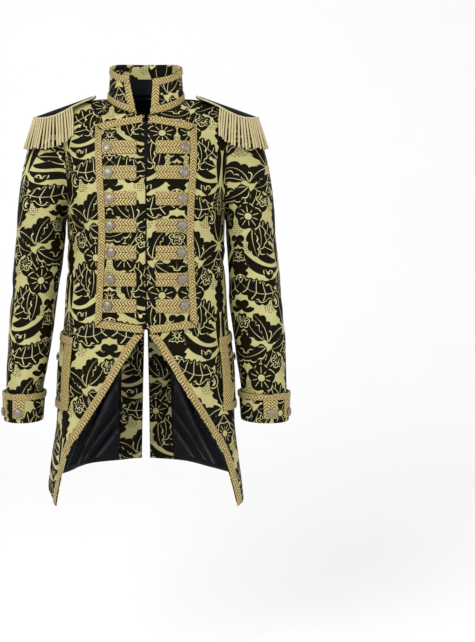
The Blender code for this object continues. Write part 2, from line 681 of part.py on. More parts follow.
def make_cuffs():
    """Cuffs with their braid: a band round the top and two upright strips, each with a button."""
    p = np.array([*CUFF_COLUMNS, *np.linspace(*CUFF_PLAIN_COLUMNS)])
    height = CUFF_TOP - CUFF_BOTTOM
    h = np.array([0.0, (CUFF_STRIP_Z - CUFF_BOTTOM) / height, *CUFF_BRAID_LEVELS])
    button_level = (CUFF_BUTTON_Z - CUFF_BOTTOM) / height
    for side, sign in SIDES.items():
        surface = partial(cuff_surface, side)
        levels = np.array([0.0, 0.5, 1.0])
        inside = surface(p[None, :], levels[:, None]).mean(axis=1, keepdims=True)
        points, n = layer(surface, p[None, :], levels[:, None], sign, inside, True)
        slab(f"cuff_{side}", points, n, -CLOTH, 0.0, "brocade", closed=True)
        inside = surface(p[None, :], h[:, None]).mean(axis=1, keepdims=True)
        points, n = layer(surface, p[None, :], h[:, None], sign, inside, True)
        middles = (p + np.roll(p, -1) + (np.arange(len(p)) == len(p) - 1)) / 2
        in_strip = np.zeros(len(p), bool)
        for middle in CUFF_STRIPS:
            in_strip |= np.abs(middles - middle) < CUFF_STRIP_HALF
        mask = np.zeros((len(h) - 1, len(p)), bool)
        mask[-1] = True
        mask[1:-1, in_strip] = True
        trim = slab(f"cuff_braid_{side}", points, n, LIFT, LIFT + BRAID, "braid", mask, closed=True)
        tree = tree_of(trim)
        for number, middle in enumerate(CUFF_STRIPS, 1):
            ends = (np.array([level, level + STEP]) for level in (middle, button_level))
            point, normal = layer(surface, *ends, sign, inside[0, 0])
            seat = settle(tree, point + normal * BRAID)[0][0]
            make_button(f"cuff_button_{side}_{number}", seat, normal[0], "cuff")


def make_collar():
    """Stand collar and the closed ring of braid on its outer face."""
    def surface(share, h, inset=0.0):
        start, end = COLLAR_OPENING["left"], COLLAR_OPENING["right"]
        radius = NECK_HALF_WIDTH + (COLLAR_TOP_HALF_WIDTH - NECK_HALF_WIDTH) * h
        first = np.arcsin((start[0] + (start[1] - start[0]) * h + inset) / radius)
        last = 2 * math.pi - np.arcsin((end[0] + (end[1] - end[0]) * h + inset) / radius)
        return collar_surface(first + (last - first) * share, h)

    inside = np.array([0.0, 0.0, 0.02])
    levels = np.array([[0.0], [0.5], [1.0]])
    columns = np.linspace(0.0, 1.0, COLLAR_COLUMNS)
    points, n = layer(surface, columns[None, :], levels, 1.0, inside)
    slab("collar", points, n, -CLOTH, 0.0, "brocade")
    end = BRAID_WIDTH / COLLAR_LENGTH
    columns = np.array([0.0, *np.linspace(end, 1 - end, COLLAR_COLUMNS), 1.0])
    levels = np.array(COLLAR_BRAID_LEVELS)[:, None]
    points, n = layer(partial(surface, inset=EDGE_INSET), columns[None, :], levels, 1.0, inside)
    mask = np.zeros((len(levels) - 1, len(columns) - 1), bool)
    mask[[0, -1]] = True
    mask[:, [0, -1]] = True
    slab("collar_braid", points, n, LIFT, LIFT + BRAID, "braid", mask)


def make_bib(fronts):
    """Braid frame on each front with its seven frogs, and a button on each frog."""
    halves = BRAID_WIDTH * np.array([-0.5, 0.5])
    bottom, top = np.array(BIB_BOTTOM_Z), np.array(BIB_TOP_Z)
    frog_edges = np.sort([*(FROGS["z"] - FROG_HEIGHT / 2), *(FROGS["z"] + FROG_HEIGHT / 2)])
    z_rows = np.array([*(bottom[-1] + halves), *frog_edges, BIB_REST_Z, *(top[-1] + halves)])
    outer = read(BIB_OUTER, "x", z_rows)
    frogs = np.linspace(np.full_like(outer, FROG_START), outer - BIB_BAR - BIB_BRIDGE, FROG_COLUMNS)
    xs = np.vstack([np.full_like(outer, BIB_FRONT_X), frogs, outer - BIB_BAR, outer]).T
    for side, sign in SIDES.items():
        tree = tree_of(fronts[side])
        zs = np.repeat(z_rows[:, None], xs.shape[1], axis=1)
        across = xs / xs[:, -1:]
        for rows, middle in (((0, 1), bottom), ((-2, -1), top)):
            for r, half in zip(rows, halves):
                zs[r] = middle[0] + (middle[1] - middle[0]) * across[r] + half
        points, n = cast_grid(tree, xs * sign, zs)
        mask = np.zeros((len(z_rows) - 1, xs.shape[1] - 1), bool)
        mask[[0, -1]] = True
        mask[:, -1] = True
        for k in range(len(FROGS["z"])):
            mask[2 + 2 * k, 1:] = True
        bib = slab(f"front_braid_{side}", points, n, BIB_LIFT, BIB_LIFT + BRAID, "braid", mask)
        tree = tree_of(bib)
        for number, (z, x) in enumerate(zip(FROGS["z"], FROGS["button_x"]), 1):
            seat, normal = cast(tree, x * sign, z)
            make_button(f"front_button_{side}_{number}", seat, normal, "front")


def settle(tree, points):
    """The nearest points of the cloth below a grid of points, and the normals there."""
    near = np.empty_like(points)
    n = np.empty_like(points)
    for place in np.ndindex(points.shape[:-1]):
        hit, normal, _, _ = tree.find_nearest(Vector(points[place]))
        near[place], n[place] = hit, normal
    return near, n


def edge_strip(side, sign, surface, panel_rows, ends, tree):
    """Points for a braid that runs along a panel's centre edge, on the panel's own rows."""
    between = panel_rows[(panel_rows > ends[0]) & (panel_rows < ends[1])]
    rows = np.array([ends[0], *between, ends[1]])
    v = np.sort([*rows, *(rows[1:] + rows[:-1]) / 2])
    reach = np.linspace(0.0, EDGE_REACH, 41)
    strip = []
    for level in v:
        across = surface(side, reach, np.full_like(reach, level))
        edge = surface(side, np.zeros(2), np.clip([level - 0.01, level + 0.01], v[0], v[-1]))
        run = edge[1] - edge[0]
        run /= np.linalg.norm(run)
        away = across - across[0]
        square = np.linalg.norm(away - np.outer(away @ run, run), axis=1)
        width = EDGE_INSET + BRAID_WIDTH * np.array([0.0, 1.0])
        u = np.interp(width, square, reach)
        strip.append(surface(side, u, np.full_like(u, level)))
    points = np.array(strip) * np.array([sign, 1.0, 1.0])
    return settle(tree, points)


def make_edge_braid(fronts):
    """Braid along the cutaway edge, down to the tail tip."""
    for side, sign in SIDES.items():
        tree = tree_of(fronts[side])
        points, n = edge_strip(side, sign, front_surface, FRONT_V, EDGE_BRAID_V, tree)
        slab(f"edge_braid_{side}", points, n, EDGE_LIFT, EDGE_LIFT + BRAID, "braid")


def make_vent(backs):
    """Braid along the vent edges with a button at the top of each."""
    for side, sign in SIDES.items():
        tree = tree_of(backs[side])
        points, n = edge_strip(side, sign, back_surface, BACK_V, VENT_BRAID_V, tree)
        slab(f"vent_braid_{side}", points, n, EDGE_LIFT, EDGE_LIFT + BRAID, "braid")
        start = Vector((VENT_BUTTON_X * sign, 1.0, VENT_BUTTON_Z))
        hit, normal, _, _ = tree.ray_cast(start, Vector((0.0, -1.0, 0.0)))
        make_button(f"vent_button_{side}", np.array(hit), np.array(normal), "vent")


def make_pockets(fronts, backs):
    """Side pocket flaps with their braid and button."""
    angles = np.radians(np.linspace(*FLAP_ANGLES, FLAP_COLUMNS))
    along = np.linspace(0.0, 1.0, FLAP_COLUMNS)
    band = BRAID_WIDTH / (FLAP_TOP_Z[0] - FLAP_BOTTOM_Z[0])
    heights = np.array([0.0, band, *FLAP_REST_LEVELS, 1 - band, 1.0])
    low = FLAP_BOTTOM_Z[0] + (FLAP_BOTTOM_Z[1] - FLAP_BOTTOM_Z[0]) * along
    high = FLAP_TOP_Z[0] + (FLAP_TOP_Z[1] - FLAP_TOP_Z[0]) * along
    zs = low[None, :] + (high - low)[None, :] * heights[:, None]
    flap_top = FLAP_LIFT + FLAP_CLOTH
    for side, sign in SIDES.items():
        tree = tree_of(fronts[side], backs[side])
        points, n = layer(partial(torso, side), angles[None, :], zs, sign)
        points, _ = settle(tree, points)
        flap = slab(f"pocket_flap_{side}", points, n, FLAP_LIFT, flap_top, "brocade")
        mask = np.zeros((len(heights) - 1, FLAP_COLUMNS - 1), bool)
        mask[[0, -1]] = True
        mask[:, :FLAP_DOUBLE] = True
        mask[:, -1] = True
        over = flap_top + SEAM
        slab(f"pocket_braid_{side}", points, n, over, over + BRAID, "braid", mask)
        angle, z = math.radians(POCKET_BUTTON[0]), POCKET_BUTTON[1]
        ends = (np.array([level, level + STEP]) for level in (angle, z))
        point, normal = layer(partial(torso, side), *ends, sign)
        seat = settle(tree_of(flap), point + normal * flap_top)[0][0]
        make_button(f"pocket_button_{side}", seat, normal[0], "pocket")


def make_underlap(fronts):
    """Black strip behind the closed fronts."""
    tree = tree_of(*fronts.values())
    zs = np.linspace(*UNDERLAP_Z, UNDERLAP_ROWS)
    xs = UNDERLAP_HALF_WIDTH * np.array(UNDERLAP_COLUMNS)
    clear_of_edge = np.maximum(np.abs(xs), BIB_FRONT_X) * np.sign(xs)
    points, n = cast_grid(tree, *np.broadcast_arrays(clear_of_edge[None, :], zs[:, None]))
    points[..., 0] = xs[None, :]
    low = -CLOTH - INSIDE_GAP
    slab("underlap", points, n, low - SATIN, low, "satin")


def board_outline():
    """Distances along the epaulette and its half width there."""
    turns = np.radians(BOARD_ROUND_ANGLES)
    along = np.concatenate([
        BOARD_STRAP["along"], BOARD_ROUND_CENTRE + BOARD_ROUND_RADIUS * np.sin(turns),
    ])
    half = np.concatenate([BOARD_STRAP["half_width"], BOARD_ROUND_RADIUS * np.cos(turns)])
    return along, half


def board_height(tree, sign):
    """Height of the stiff board's underside, sloped like the shoulder and just clear of it."""
    along, half = board_outline()

    def shape(x, y):
        across = y - BOARD_MIDDLE_Y
        return BOARD_TILT * across - BOARD_SLOPE * (x - BOARD_START) - BOARD_DROP * across**2

    rise = []
    for a in np.linspace(along[0], along[-1], 40):
        w = np.interp(a, along, half)
        for share in np.linspace(-1.03, 1.03, 15):
            x, y = BOARD_START + a, BOARD_MIDDLE_Y + w * share
            hit = tree.ray_cast(Vector((x * sign, y, 0.5)), Vector((0.0, 0.0, -1.0)))[0]
            if hit is not None:
                rise.append(hit.z - shape(x, y))
    start = max(rise) + BOARD_CLEAR
    return lambda x, y: start + shape(x, y)


def make_epaulettes(shells):
    for side, sign in SIDES.items():
        tree = tree_of(*shells[side])
        height = board_height(tree, sign)
        along, half = board_outline()
        x = np.repeat((BOARD_START + along)[:, None], BOARD_COLUMNS, axis=1)
        y = BOARD_MIDDLE_Y + half[:, None] * np.linspace(-1.0, 1.0, BOARD_COLUMNS)[None, :]
        under = vectors(x, y, height(x, y))
        over = under + np.array([0.0, 0.0, BOARD_THICKNESS])
        mirror = np.array([sign, 1.0, 1.0])
        vertices, faces = cell_solid(over * mirror, under * mirror)
        piece(f"epaulette_board_{side}", vertices, faces, "velvet")
        make_fringe(side, sign, tree, height)


def board_rim():
    """Closed outline of the board at its cord, evenly spaced, with the outward direction."""
    along, half = board_outline()
    front = np.stack([BOARD_START + along, BOARD_MIDDLE_Y - half], axis=1)
    back = np.stack([BOARD_START + along, BOARD_MIDDLE_Y + half], axis=1)[::-1]
    loop = np.concatenate([front, back])
    fine = np.concatenate([loop, loop[:1]])
    length = run_length(fine)
    share = (np.arange(RIM_STEPS) + 0.5) / RIM_STEPS * length[-1]
    points = np.stack([np.interp(share, length, fine[:, k]) for k in (0, 1)], axis=1)
    run = np.roll(points, -1, axis=0) - np.roll(points, 1, axis=0)
    run /= np.linalg.norm(run, axis=1, keepdims=True)
    outward = np.stack([run[:, 1], -run[:, 0]], axis=1)
    return points + outward * CORD_OUT, outward


def strand_path(start, outward, tree, sign):
    """Middle line of a strand that falls from the cord and slides off the cloth below it."""
    path = []
    mirror = Vector((sign, 1.0, 1.0))
    spot = Vector(start) * mirror
    fall = Vector((0.0, 0.0, -1.0)) + Vector(outward) * mirror * STRAND_LEAN
    for step in range(1, STRAND_WALK + 1):
        spot = spot + fall * (STRAND_LENGTH / STRAND_WALK)
        near, normal, _, _ = tree.find_nearest(spot)
        gap = (spot - near).dot(normal)
        if gap < STRAND_CLEAR:
            spot = spot + normal * (STRAND_CLEAR - gap)
        if step in STRAND_STEPS:
            path.append(np.array(spot * mirror))
    return path


def make_fringe(side, sign, tree, height):
    """Cord round the board with hanging strands fused to its underside."""
    rim, outward = board_rim()
    half = CORD / 2
    out = vectors(outward[:, 0], outward[:, 1], 0.0)
    z = height(rim[:, 0] - outward[:, 0] * half, rim[:, 1] - outward[:, 1] * half)
    centre = vectors(rim[:, 0], rim[:, 1], z + CORD_RISE)
    for k, spot in enumerate(centre):
        hit = tree.ray_cast(Vector((spot[0] * sign, spot[1], 0.5)), Vector((0, 0, -1.0)))[0]
        if hit is not None:
            centre[k, 2] = max(centre[k, 2], hit.z + half + LIFT)
    up = np.array([0.0, 0.0, 1.0])
    square = ((-1, 1), (1, 1), (1, -1), (-1, -1))
    corners = [centre + out * half * a + up * half * b for a, b in square]
    vertices = [p for ring in zip(*corners) for p in ring]
    starts = np.flatnonzero(rim[:, 0] > BOARD_START + FRINGE_START)[1::2]
    faces = []
    for k in range(RIM_STEPS):
        m = (k + 1) % RIM_STEPS
        a, b = [4 * k + j for j in range(4)], [4 * m + j for j in range(4)]
        faces += [[a[j], b[j], b[(j + 1) % 4], a[(j + 1) % 4]] for j in (0, 1, 3)]
        root = [a[2], b[2], b[3], a[3]]
        if k not in starts:
            faces.append(root)
            continue
        middle = (centre[k] + centre[m]) / 2 - up * half
        run = centre[m] - centre[k]
        run /= np.linalg.norm(run)
        previous = root
        for spot in strand_path(middle, out[k], tree, sign):
            ring = [len(vertices) + j for j in range(4)]
            w = STRAND_WIDTH / 2
            vertices += [spot + run * w * i + out[k] * w * j for i, j in square]
            faces += [[previous[j], previous[(j + 1) % 4], ring[(j + 1) % 4], ring[j]] for j in range(4)]
            previous = ring
        faces.append(previous)
    points = np.array(vertices) * np.array([sign, 1.0, 1.0])
    piece(f"epaulette_fringe_{side}", points, faces, "cord")


def make_button(name, seat, normal, kind):
    """Domed button on a short shank, turned about the normal of what it sits on."""
    radius = BUTTON_RADIUS[kind]
    profile = (
        (BUTTON_SHANK, SEAM), (BUTTON_SHANK, BUTTON_SHANK_TOP), (radius, BUTTON_RIM),
        (radius * BUTTON_SHOULDER[0], BUTTON_SHOULDER[1]),
    )
    turned = Vector(normal).to_track_quat("Z", "Y").to_matrix()
    vertices = []
    for r, h in profile:
        for k in range(BUTTON_SIDES):
            turn = 2 * math.pi * k / BUTTON_SIDES
            local = turned @ Vector((r * math.cos(turn), r * math.sin(turn), h))
            vertices.append(np.array(local) + seat)
    vertices.append(np.array(turned @ Vector((0.0, 0.0, SEAM))) + seat)
    vertices.append(np.array(turned @ Vector((0.0, 0.0, BUTTON_CROWN))) + seat)
    n = BUTTON_SIDES
    faces = []
    for ring in range(len(profile) - 1):
        for k in range(n):
            m = (k + 1) % n
            faces.append([ring * n + k, ring * n + m, (ring + 1) * n + m, (ring + 1) * n + k])
    last = (len(profile) - 1) * n
    for k in range(n):
        m = (k + 1) % n
        faces.append([len(vertices) - 2, m, k])
        faces.append([last + k, last + m, len(vertices) - 1])
    piece(name, vertices, faces, "pewter")


def main():
    for item in list(bpy.data.objects):
        bpy.data.objects.remove(item, do_unlink=True)
    fronts = make_fronts()
    backs = make_backs()
    sleeves = make_sleeves()
    make_cuffs()
    make_collar()
    make_bib(fronts)
    make_edge_braid(fronts)
    make_vent(backs)
    make_pockets(fronts, backs)
    make_underlap(fronts)
    shells = {side: (fronts[side], backs[side], sleeves[side]) for side in SIDES}
    make_epaulettes(shells)


main()
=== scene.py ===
"""Looks of the ringmaster jacket: dense cloth shells with woven damask, plaited braid, twisted
fringe, velvet boards, pewter buttons and satin lining, on the surfaces of the solids.

Metres, +Z up, the front faces -Y. Damask tables are in millimetres of flat cloth.
"""

import math
from functools import partial

import bpy
import numpy as np
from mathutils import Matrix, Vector
from mathutils.bvhtree import BVHTree


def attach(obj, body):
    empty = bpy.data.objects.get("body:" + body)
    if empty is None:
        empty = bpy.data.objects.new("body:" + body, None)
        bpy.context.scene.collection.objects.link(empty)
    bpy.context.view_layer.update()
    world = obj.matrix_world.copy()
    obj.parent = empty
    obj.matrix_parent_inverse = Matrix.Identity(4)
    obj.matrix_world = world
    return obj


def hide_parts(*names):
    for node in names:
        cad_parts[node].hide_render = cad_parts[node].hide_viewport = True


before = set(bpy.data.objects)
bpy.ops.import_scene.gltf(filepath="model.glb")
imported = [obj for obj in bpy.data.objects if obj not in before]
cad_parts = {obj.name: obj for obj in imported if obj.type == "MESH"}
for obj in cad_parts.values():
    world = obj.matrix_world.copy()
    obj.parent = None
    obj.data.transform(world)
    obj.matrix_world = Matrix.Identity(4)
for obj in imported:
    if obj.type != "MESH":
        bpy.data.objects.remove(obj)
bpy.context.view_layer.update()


def table(columns, *rows):
    """A small table with named columns, as one array for each column."""
    return dict(zip(columns.split(), np.array(rows, float).T))


SIDES = {"right": -1.0, "left": 1.0}

CLOTH = 0.0020          # brocade with its interlining
SATIN = 0.0012          # lining and underlap
BRAID = 0.0022          # woven trimming braid
SEAM = 0.0003           # gap between pieces at a seam
LIFT = 0.0006           # gap under what lies on a panel
INSIDE = -0.0026        # height of a lining's outer face, 0.6 mm inside its panel

BRAID_WIDTH = 0.0155
EDGE_LIFT = 0.0010      # gap under the long edge braids, whose cells are wider
EDGE_INSET = 0.0010     # braid stays this far inside a cloth edge
EDGE_REACH = 0.25       # share of a panel's width that an edge braid stays within

# Body form: half width at the side, depth of the front half and of the back half.
SQUARE = 0.88           # below 1 makes the sections fuller than an ellipse
STEP = 0.002            # change of a surface's parameter that gives its direction
TORSO = table(
    "z half_width front_depth back_depth",
    (-0.900, 0.2215, 0.152, 0.172), (-0.840, 0.2150, 0.150, 0.166), (-0.790, 0.2080, 0.147, 0.160),
    (-0.710, 0.1995, 0.143, 0.152), (-0.600, 0.1950, 0.137, 0.142), (-0.545, 0.1890, 0.130, 0.130),
    (-0.490, 0.1830, 0.123, 0.117), (-0.430, 0.1800, 0.123, 0.112), (-0.360, 0.1750, 0.129, 0.117),
    (-0.265, 0.1770, 0.130, 0.126), (-0.150, 0.1880, 0.115, 0.128),
)

# Soft flutes of the hanging skirt: angle from centre front, half width, depth at the hem, top.
FLUTES = {
    "right": table(
        "angle spread depth top",
        (50, 9, 0.007, -0.60), (74, 11, -0.006, -0.62), (101, 10, 0.008, -0.56),
        (124, 9, -0.007, -0.60), (146, 10, 0.009, -0.55), (166, 8, -0.005, -0.62),
    ),
    "left": table(
        "angle spread depth top",
        (46, 8, -0.005, -0.62), (66, 10, 0.006, -0.58), (92, 11, -0.007, -0.60),
        (113, 9, 0.008, -0.57), (138, 11, -0.006, -0.61), (158, 9, 0.007, -0.54),
    ),
}
FLUTE_FOOT = -0.90

# Collar: a stand 80 mm high. Heights are A cos + B cos^2 round the neck, as front and back ends.
NECK_HALF_WIDTH = 0.085
NECK_HALF_DEPTH = 0.066
COLLAR_TOP_HALF_WIDTH = 0.0795
COLLAR_TOP_HALF_DEPTH = 0.060
NECK_FRONT_Z, NECK_SIDE_Z, NECK_BACK_Z = -0.043, 0.0, 0.013
COLLAR_FRONT_Z, COLLAR_SIDE_Z, COLLAR_BACK_Z = 0.037, 0.074, 0.091
COLLAR_LENGTH = 0.46
COLLAR_UPRIGHT = 0.045  # length of the braids at its ends
COLLAR_GAP = 0.0008     # over the neck edge of the panels, whose sections are coarser
COLLAR_OPENING = {"right": (0.020, 0.037), "left": (0.009, 0.014)}   # x of the end, base and top
COLLAR_BRAID_LEVELS = ((0.02, 0.21), (0.79, 0.98))      # shares of the collar's height

# Yoke: from the level of V_YOKE the panels turn over the shoulder to the seam.
V_YOKE = 0.86
V_UNDERARM = 0.72
ARMHOLE_STEPS = 141
YOKE_RISE = 0.10
NECK_SIDE_ANGLE = math.radians(95.0)
SHOULDER_TIP = (0.200, 0.004, -0.027)
SHOULDER_RISE = 0.030   # how far the shoulder line bows up between the neck and the tip
U_NECK = 0.5            # share of a panel's top edge that is neckline

# Fronts: heights at the front edge and at the side, and the angle of the side edge.
FRONT_ROWS = table(
    "v z_edge z_side side_angle",
    (0.000, -0.890, -0.866, 95), (0.100, -0.830, -0.810, 95), (0.220, -0.740, -0.735, 95),
    (0.380, -0.600, -0.610, 95), (0.480, -0.513, -0.520, 95), (0.600, -0.400, -0.400, 95),
    (0.720, -0.285, -0.267, 95), (0.745, -0.260, -0.258, 88), (0.780, -0.227, -0.238, 79),
    (0.820, -0.188, -0.198, 71), (0.860, -0.150, -0.150, 68),
)
FRONT_EDGE = table(      # half distance between the fronts: cutaway, closed front, neck
    "z x",
    (-0.890, 0.1945), (-0.850, 0.1865), (-0.822, 0.1795), (-0.7725, 0.1650), (-0.711, 0.1287),
    (-0.641, 0.0850), (-0.578, 0.0475), (-0.540, 0.0230), (-0.513, 0.0045), (-0.500, 0.0014),
    (-0.180, 0.0014), (-0.130, 0.0055), (-0.040, 0.0060),
)
FRONT_YOKE_END = table(  # direction in which the panel reaches its top edge
    "u dx dy dz", (0.0, 0.0, 0.045, 0.075), (0.5, -0.020, 0.100, 0.0), (1.0, 0.020, 0.115, 0.0),
)

BACK_ROWS = table(
    "v z_edge z_side side_angle",
    (0.000, -0.843, -0.866, 95), (0.100, -0.790, -0.810, 95), (0.220, -0.720, -0.735, 95),
    (0.380, -0.600, -0.610, 95), (0.480, -0.510, -0.520, 95), (0.600, -0.395, -0.400, 95),
    (0.720, -0.270, -0.267, 95), (0.745, -0.247, -0.258, 101), (0.780, -0.215, -0.238, 108),
    (0.820, -0.182, -0.198, 113), (0.860, -0.150, -0.150, 115),
)
VENT = table(            # half distance between the backs: open vent, then the closed seam
    "z x", (-0.850, 0.0100), (-0.700, 0.0075), (-0.540, 0.0040), (-0.430, 0.0016),
    (-0.414, 0.00025), (0.020, 0.00025),
)
VENT_BUTTON_X = 0.0112
VENT_BUTTON_Z = -0.419
BACK_YOKE_END = table(
    "u dx dy dz", (0.0, 0.0, -0.030, 0.085), (0.5, -0.020, -0.095, 0.0), (1.0, 0.020, -0.120, 0.0),
)

# Sleeves: inner and outer side, half depth and middle of each section.
SLEEVES = {
    "right": table(
        "z inner outer half_depth middle",
        (-0.745, 0.2320, 0.3125, 0.0510, -0.024), (-0.655, 0.2305, 0.3115, 0.0525, -0.016),
        (-0.600, 0.2210, 0.3110, 0.0570, -0.010), (-0.5445, 0.2115, 0.3090, 0.0610, -0.003),
        (-0.4635, 0.2020, 0.3045, 0.0655, 0.000), (-0.380, 0.1885, 0.2975, 0.0690, -0.004),
        (-0.300, 0.1795, 0.2890, 0.0710, -0.006),
    ),
    "left": table(
        "z inner outer half_depth middle",
        (-0.745, 0.2150, 0.3145, 0.0510, -0.024), (-0.655, 0.2130, 0.3135, 0.0525, -0.016),
        (-0.600, 0.2065, 0.3130, 0.0570, -0.010), (-0.5445, 0.1990, 0.3130, 0.0610, -0.003),
        (-0.4635, 0.1895, 0.3065, 0.0655, 0.000), (-0.380, 0.1850, 0.2985, 0.0690, -0.004),
        (-0.300, 0.1795, 0.2890, 0.0710, -0.006),
    ),
}
SLEEVE_HEAD_END = -0.300
SLEEVE_END = -0.7115
Q_HEAD = 0.36           # share of the sleeve's length that is its head
HEAD_OUT = (0.020, 0.200)    # pull outward at the underarm and at the top
HEAD_DOWN = (0.040, 0.300)   # pull down at the end of the head, the same way

# Largest creases of the sleeves: height, place round the sleeve, spread of both, depth.
SLEEVE_CREASES = {
    "right": table(
        "z around height spread depth",
        (-0.395, 0.20, 0.020, 0.14, -0.0050), (-0.440, 0.42, 0.022, 0.12, -0.0045),
        (-0.475, 0.24, 0.018, 0.15, 0.0045), (-0.520, 0.16, 0.018, 0.13, -0.0050),
        (-0.580, 0.30, 0.022, 0.15, -0.0035), (-0.430, 0.78, 0.024, 0.16, -0.0050),
        (-0.520, 0.70, 0.022, 0.14, 0.0040), (-0.600, 0.80, 0.022, 0.14, -0.0035),
    ),
    "left": table(
        "z around height spread depth",
        (-0.370, 0.24, 0.022, 0.13, -0.0045), (-0.425, 0.15, 0.020, 0.15, 0.0045),
        (-0.465, 0.30, 0.018, 0.14, -0.0055), (-0.510, 0.38, 0.020, 0.12, -0.0040),
        (-0.560, 0.18, 0.022, 0.15, 0.0040), (-0.410, 0.72, 0.022, 0.15, -0.0050),
        (-0.490, 0.80, 0.024, 0.14, 0.0040), (-0.570, 0.74, 0.022, 0.15, -0.0040),
    ),
}

CUFF_TOP = -0.650
CUFF_BOTTOM = -0.713
CUFF_STAND = (0.0032, 0.0062)    # how far it stands off the sleeve, at the bottom and at the top
CUFF_STRIP_Z = -0.7030           # lower end of the upright strips
CUFF_STRIPS = (0.268, 0.415)     # their middles round the cuff
CUFF_STRIP_HALF = 0.045          # half their width, as a share of the way round
CUFF_BUTTON_Z = -0.692
CUFF_GRID = (108, 29)
CUFF_MEASURED = 20               # the row whose length is taken as the way round
STRIP_GAP = 0.001                # between the two braids of a strip, as a share of the way round
TRIM_GAP = 0.004                 # between upright and level braids, as a share of the height
CUFF_BRAID_LEVELS = (0.79, 0.985)           # shares of the cuff's height

# Front braid: frame from the neck to the waist, with a row for each frog.
BIB_TOP_Z = (-0.0545, -0.0725)   # middle of the top band, at the front edge and at the corner
BIB_BOTTOM_Z = (-0.5055, -0.4945)
BIB_FRONT_X = 0.0085
BIB_LIFT = 0.0014
BIB_OUTER = table(               # outer edge of the frame
    "z x", (-0.500, 0.1080), (-0.437, 0.1055), (-0.369, 0.1020), (-0.293, 0.0997),
    (-0.235, 0.1020), (-0.178, 0.1058), (-0.123, 0.1085), (-0.065, 0.1105),
)
BIB_BAR = 0.0140                 # width of its upright braid, seen from the front
BIB_BRIDGE = 0.0012              # from the frogs' ends to the upright braid
FROG_START = 0.0205
FROG_HEIGHT = 0.0290
FROGS = table(
    "z button_x",
    (-0.1185, 0.0840), (-0.1730, 0.0803), (-0.2291, 0.0775), (-0.2862, 0.0763),
    (-0.3428, 0.0740), (-0.4000, 0.0757), (-0.4557, 0.0815),
)

EDGE_BRAID_V = (0.003, 0.4765)   # ends of the cutaway braid: tail tip, below the front frame
VENT_BRAID_V = (0.006, 0.561)
EDGE_BRAID_LENGTH, VENT_BRAID_LENGTH = 0.45, 0.41     # about, to space their rows

FACING = 0.0012                  # brocade strip inside the vent edge
LINING_JOIN_V = 0.53             # height at which the lining closes over the centre back

UNDERLAP_HALF_WIDTH = 0.018
UNDERLAP_GRID = (13, 154)
UNDERLAP_Z = (-0.506, -0.058)    # it ends just under the collar

# Pocket flap round the side: angles of its front and back edges, heights at both.
FLAP_ANGLES = (54.0, 124.0)
FLAP_TOP_Z = (-0.527, -0.516)
FLAP_BOTTOM_Z = (-0.683, -0.688)
FLAP_COLUMNS = 13
FLAP_DOUBLE = 2                  # columns of the double braid at the front edge
FLAP_STRAND = 0.97               # share of its column that each of them fills
FLAP_GRID = (78, 56)
FLAP_FROM_FRONT = 0.19           # distance of its front edge from the centre front
FLAP_LIFT = 0.0019               # the flap hangs a little off the flutes of the skirt
FLAP_CLOTH = 0.0016
POCKET_BUTTON = (90.0, -0.577)

# Epaulette: a strap that widens to a round outer end, along X from the neck.
BOARD_START = 0.1185
BOARD_MIDDLE_Y = 0.003
BOARD_THICKNESS = 0.0035
BOARD_CLEAR = 0.0012             # over the highest cloth below it
BOARD_STRAP = table(
    "along half_width", (0.0, 0.0190), (0.0025, 0.0232), (0.0070, 0.0258), (0.022, 0.0272),
    (0.042, 0.0325),
)
BOARD_ROUND_CENTRE = 0.083
BOARD_ROUND_RADIUS = 0.0475
BOARD_ROUND_ANGLES = (-25, 0, 20, 38, 55, 70, 83)
BOARD_SLOPE = 0.36               # fall towards the outer end
BOARD_DROP = 6.0                 # fall to the front and back, per metre of distance squared
BOARD_TILT = 0.15                # rise towards the back
BOARD_GRID = (90, 41)
BOARD_FULLER = 0.0012            # how far its round end may go past the solid's straight sides
BOARD_LEAST = 0.003              # least half width, at the very ends
BOARD_RIM = 0.35                 # thickness at the rim, as a share
BOARD_ROLLS = (8, 0.03)          # 1 / share of the width over which the rim is rolled; end's length
CORD = 0.0042                    # twisted cord round the board
CORD_OUT = 0.00336               # from the board's edge to the cord's middle
CORD_RISE = 0.00232              # from the board's underside to the cord's middle
RIM_STEPS = 88                   # steps of the cord
STRAND_LENGTH = 0.074
FRINGE_START = 0.040             # distance from the neck end where the fringe begins
STRAND_CLEAR = 0.0042            # from a strand's middle to the cloth it hangs on
STRAND_WALK = 16                 # steps in which a strand is laid

BUTTON_RADIUS = {"front": 0.0100, "cuff": 0.0095, "vent": 0.0085, "pocket": 0.0095}
BUTTON_SHANK_TOP = 0.0016        # height above the cloth


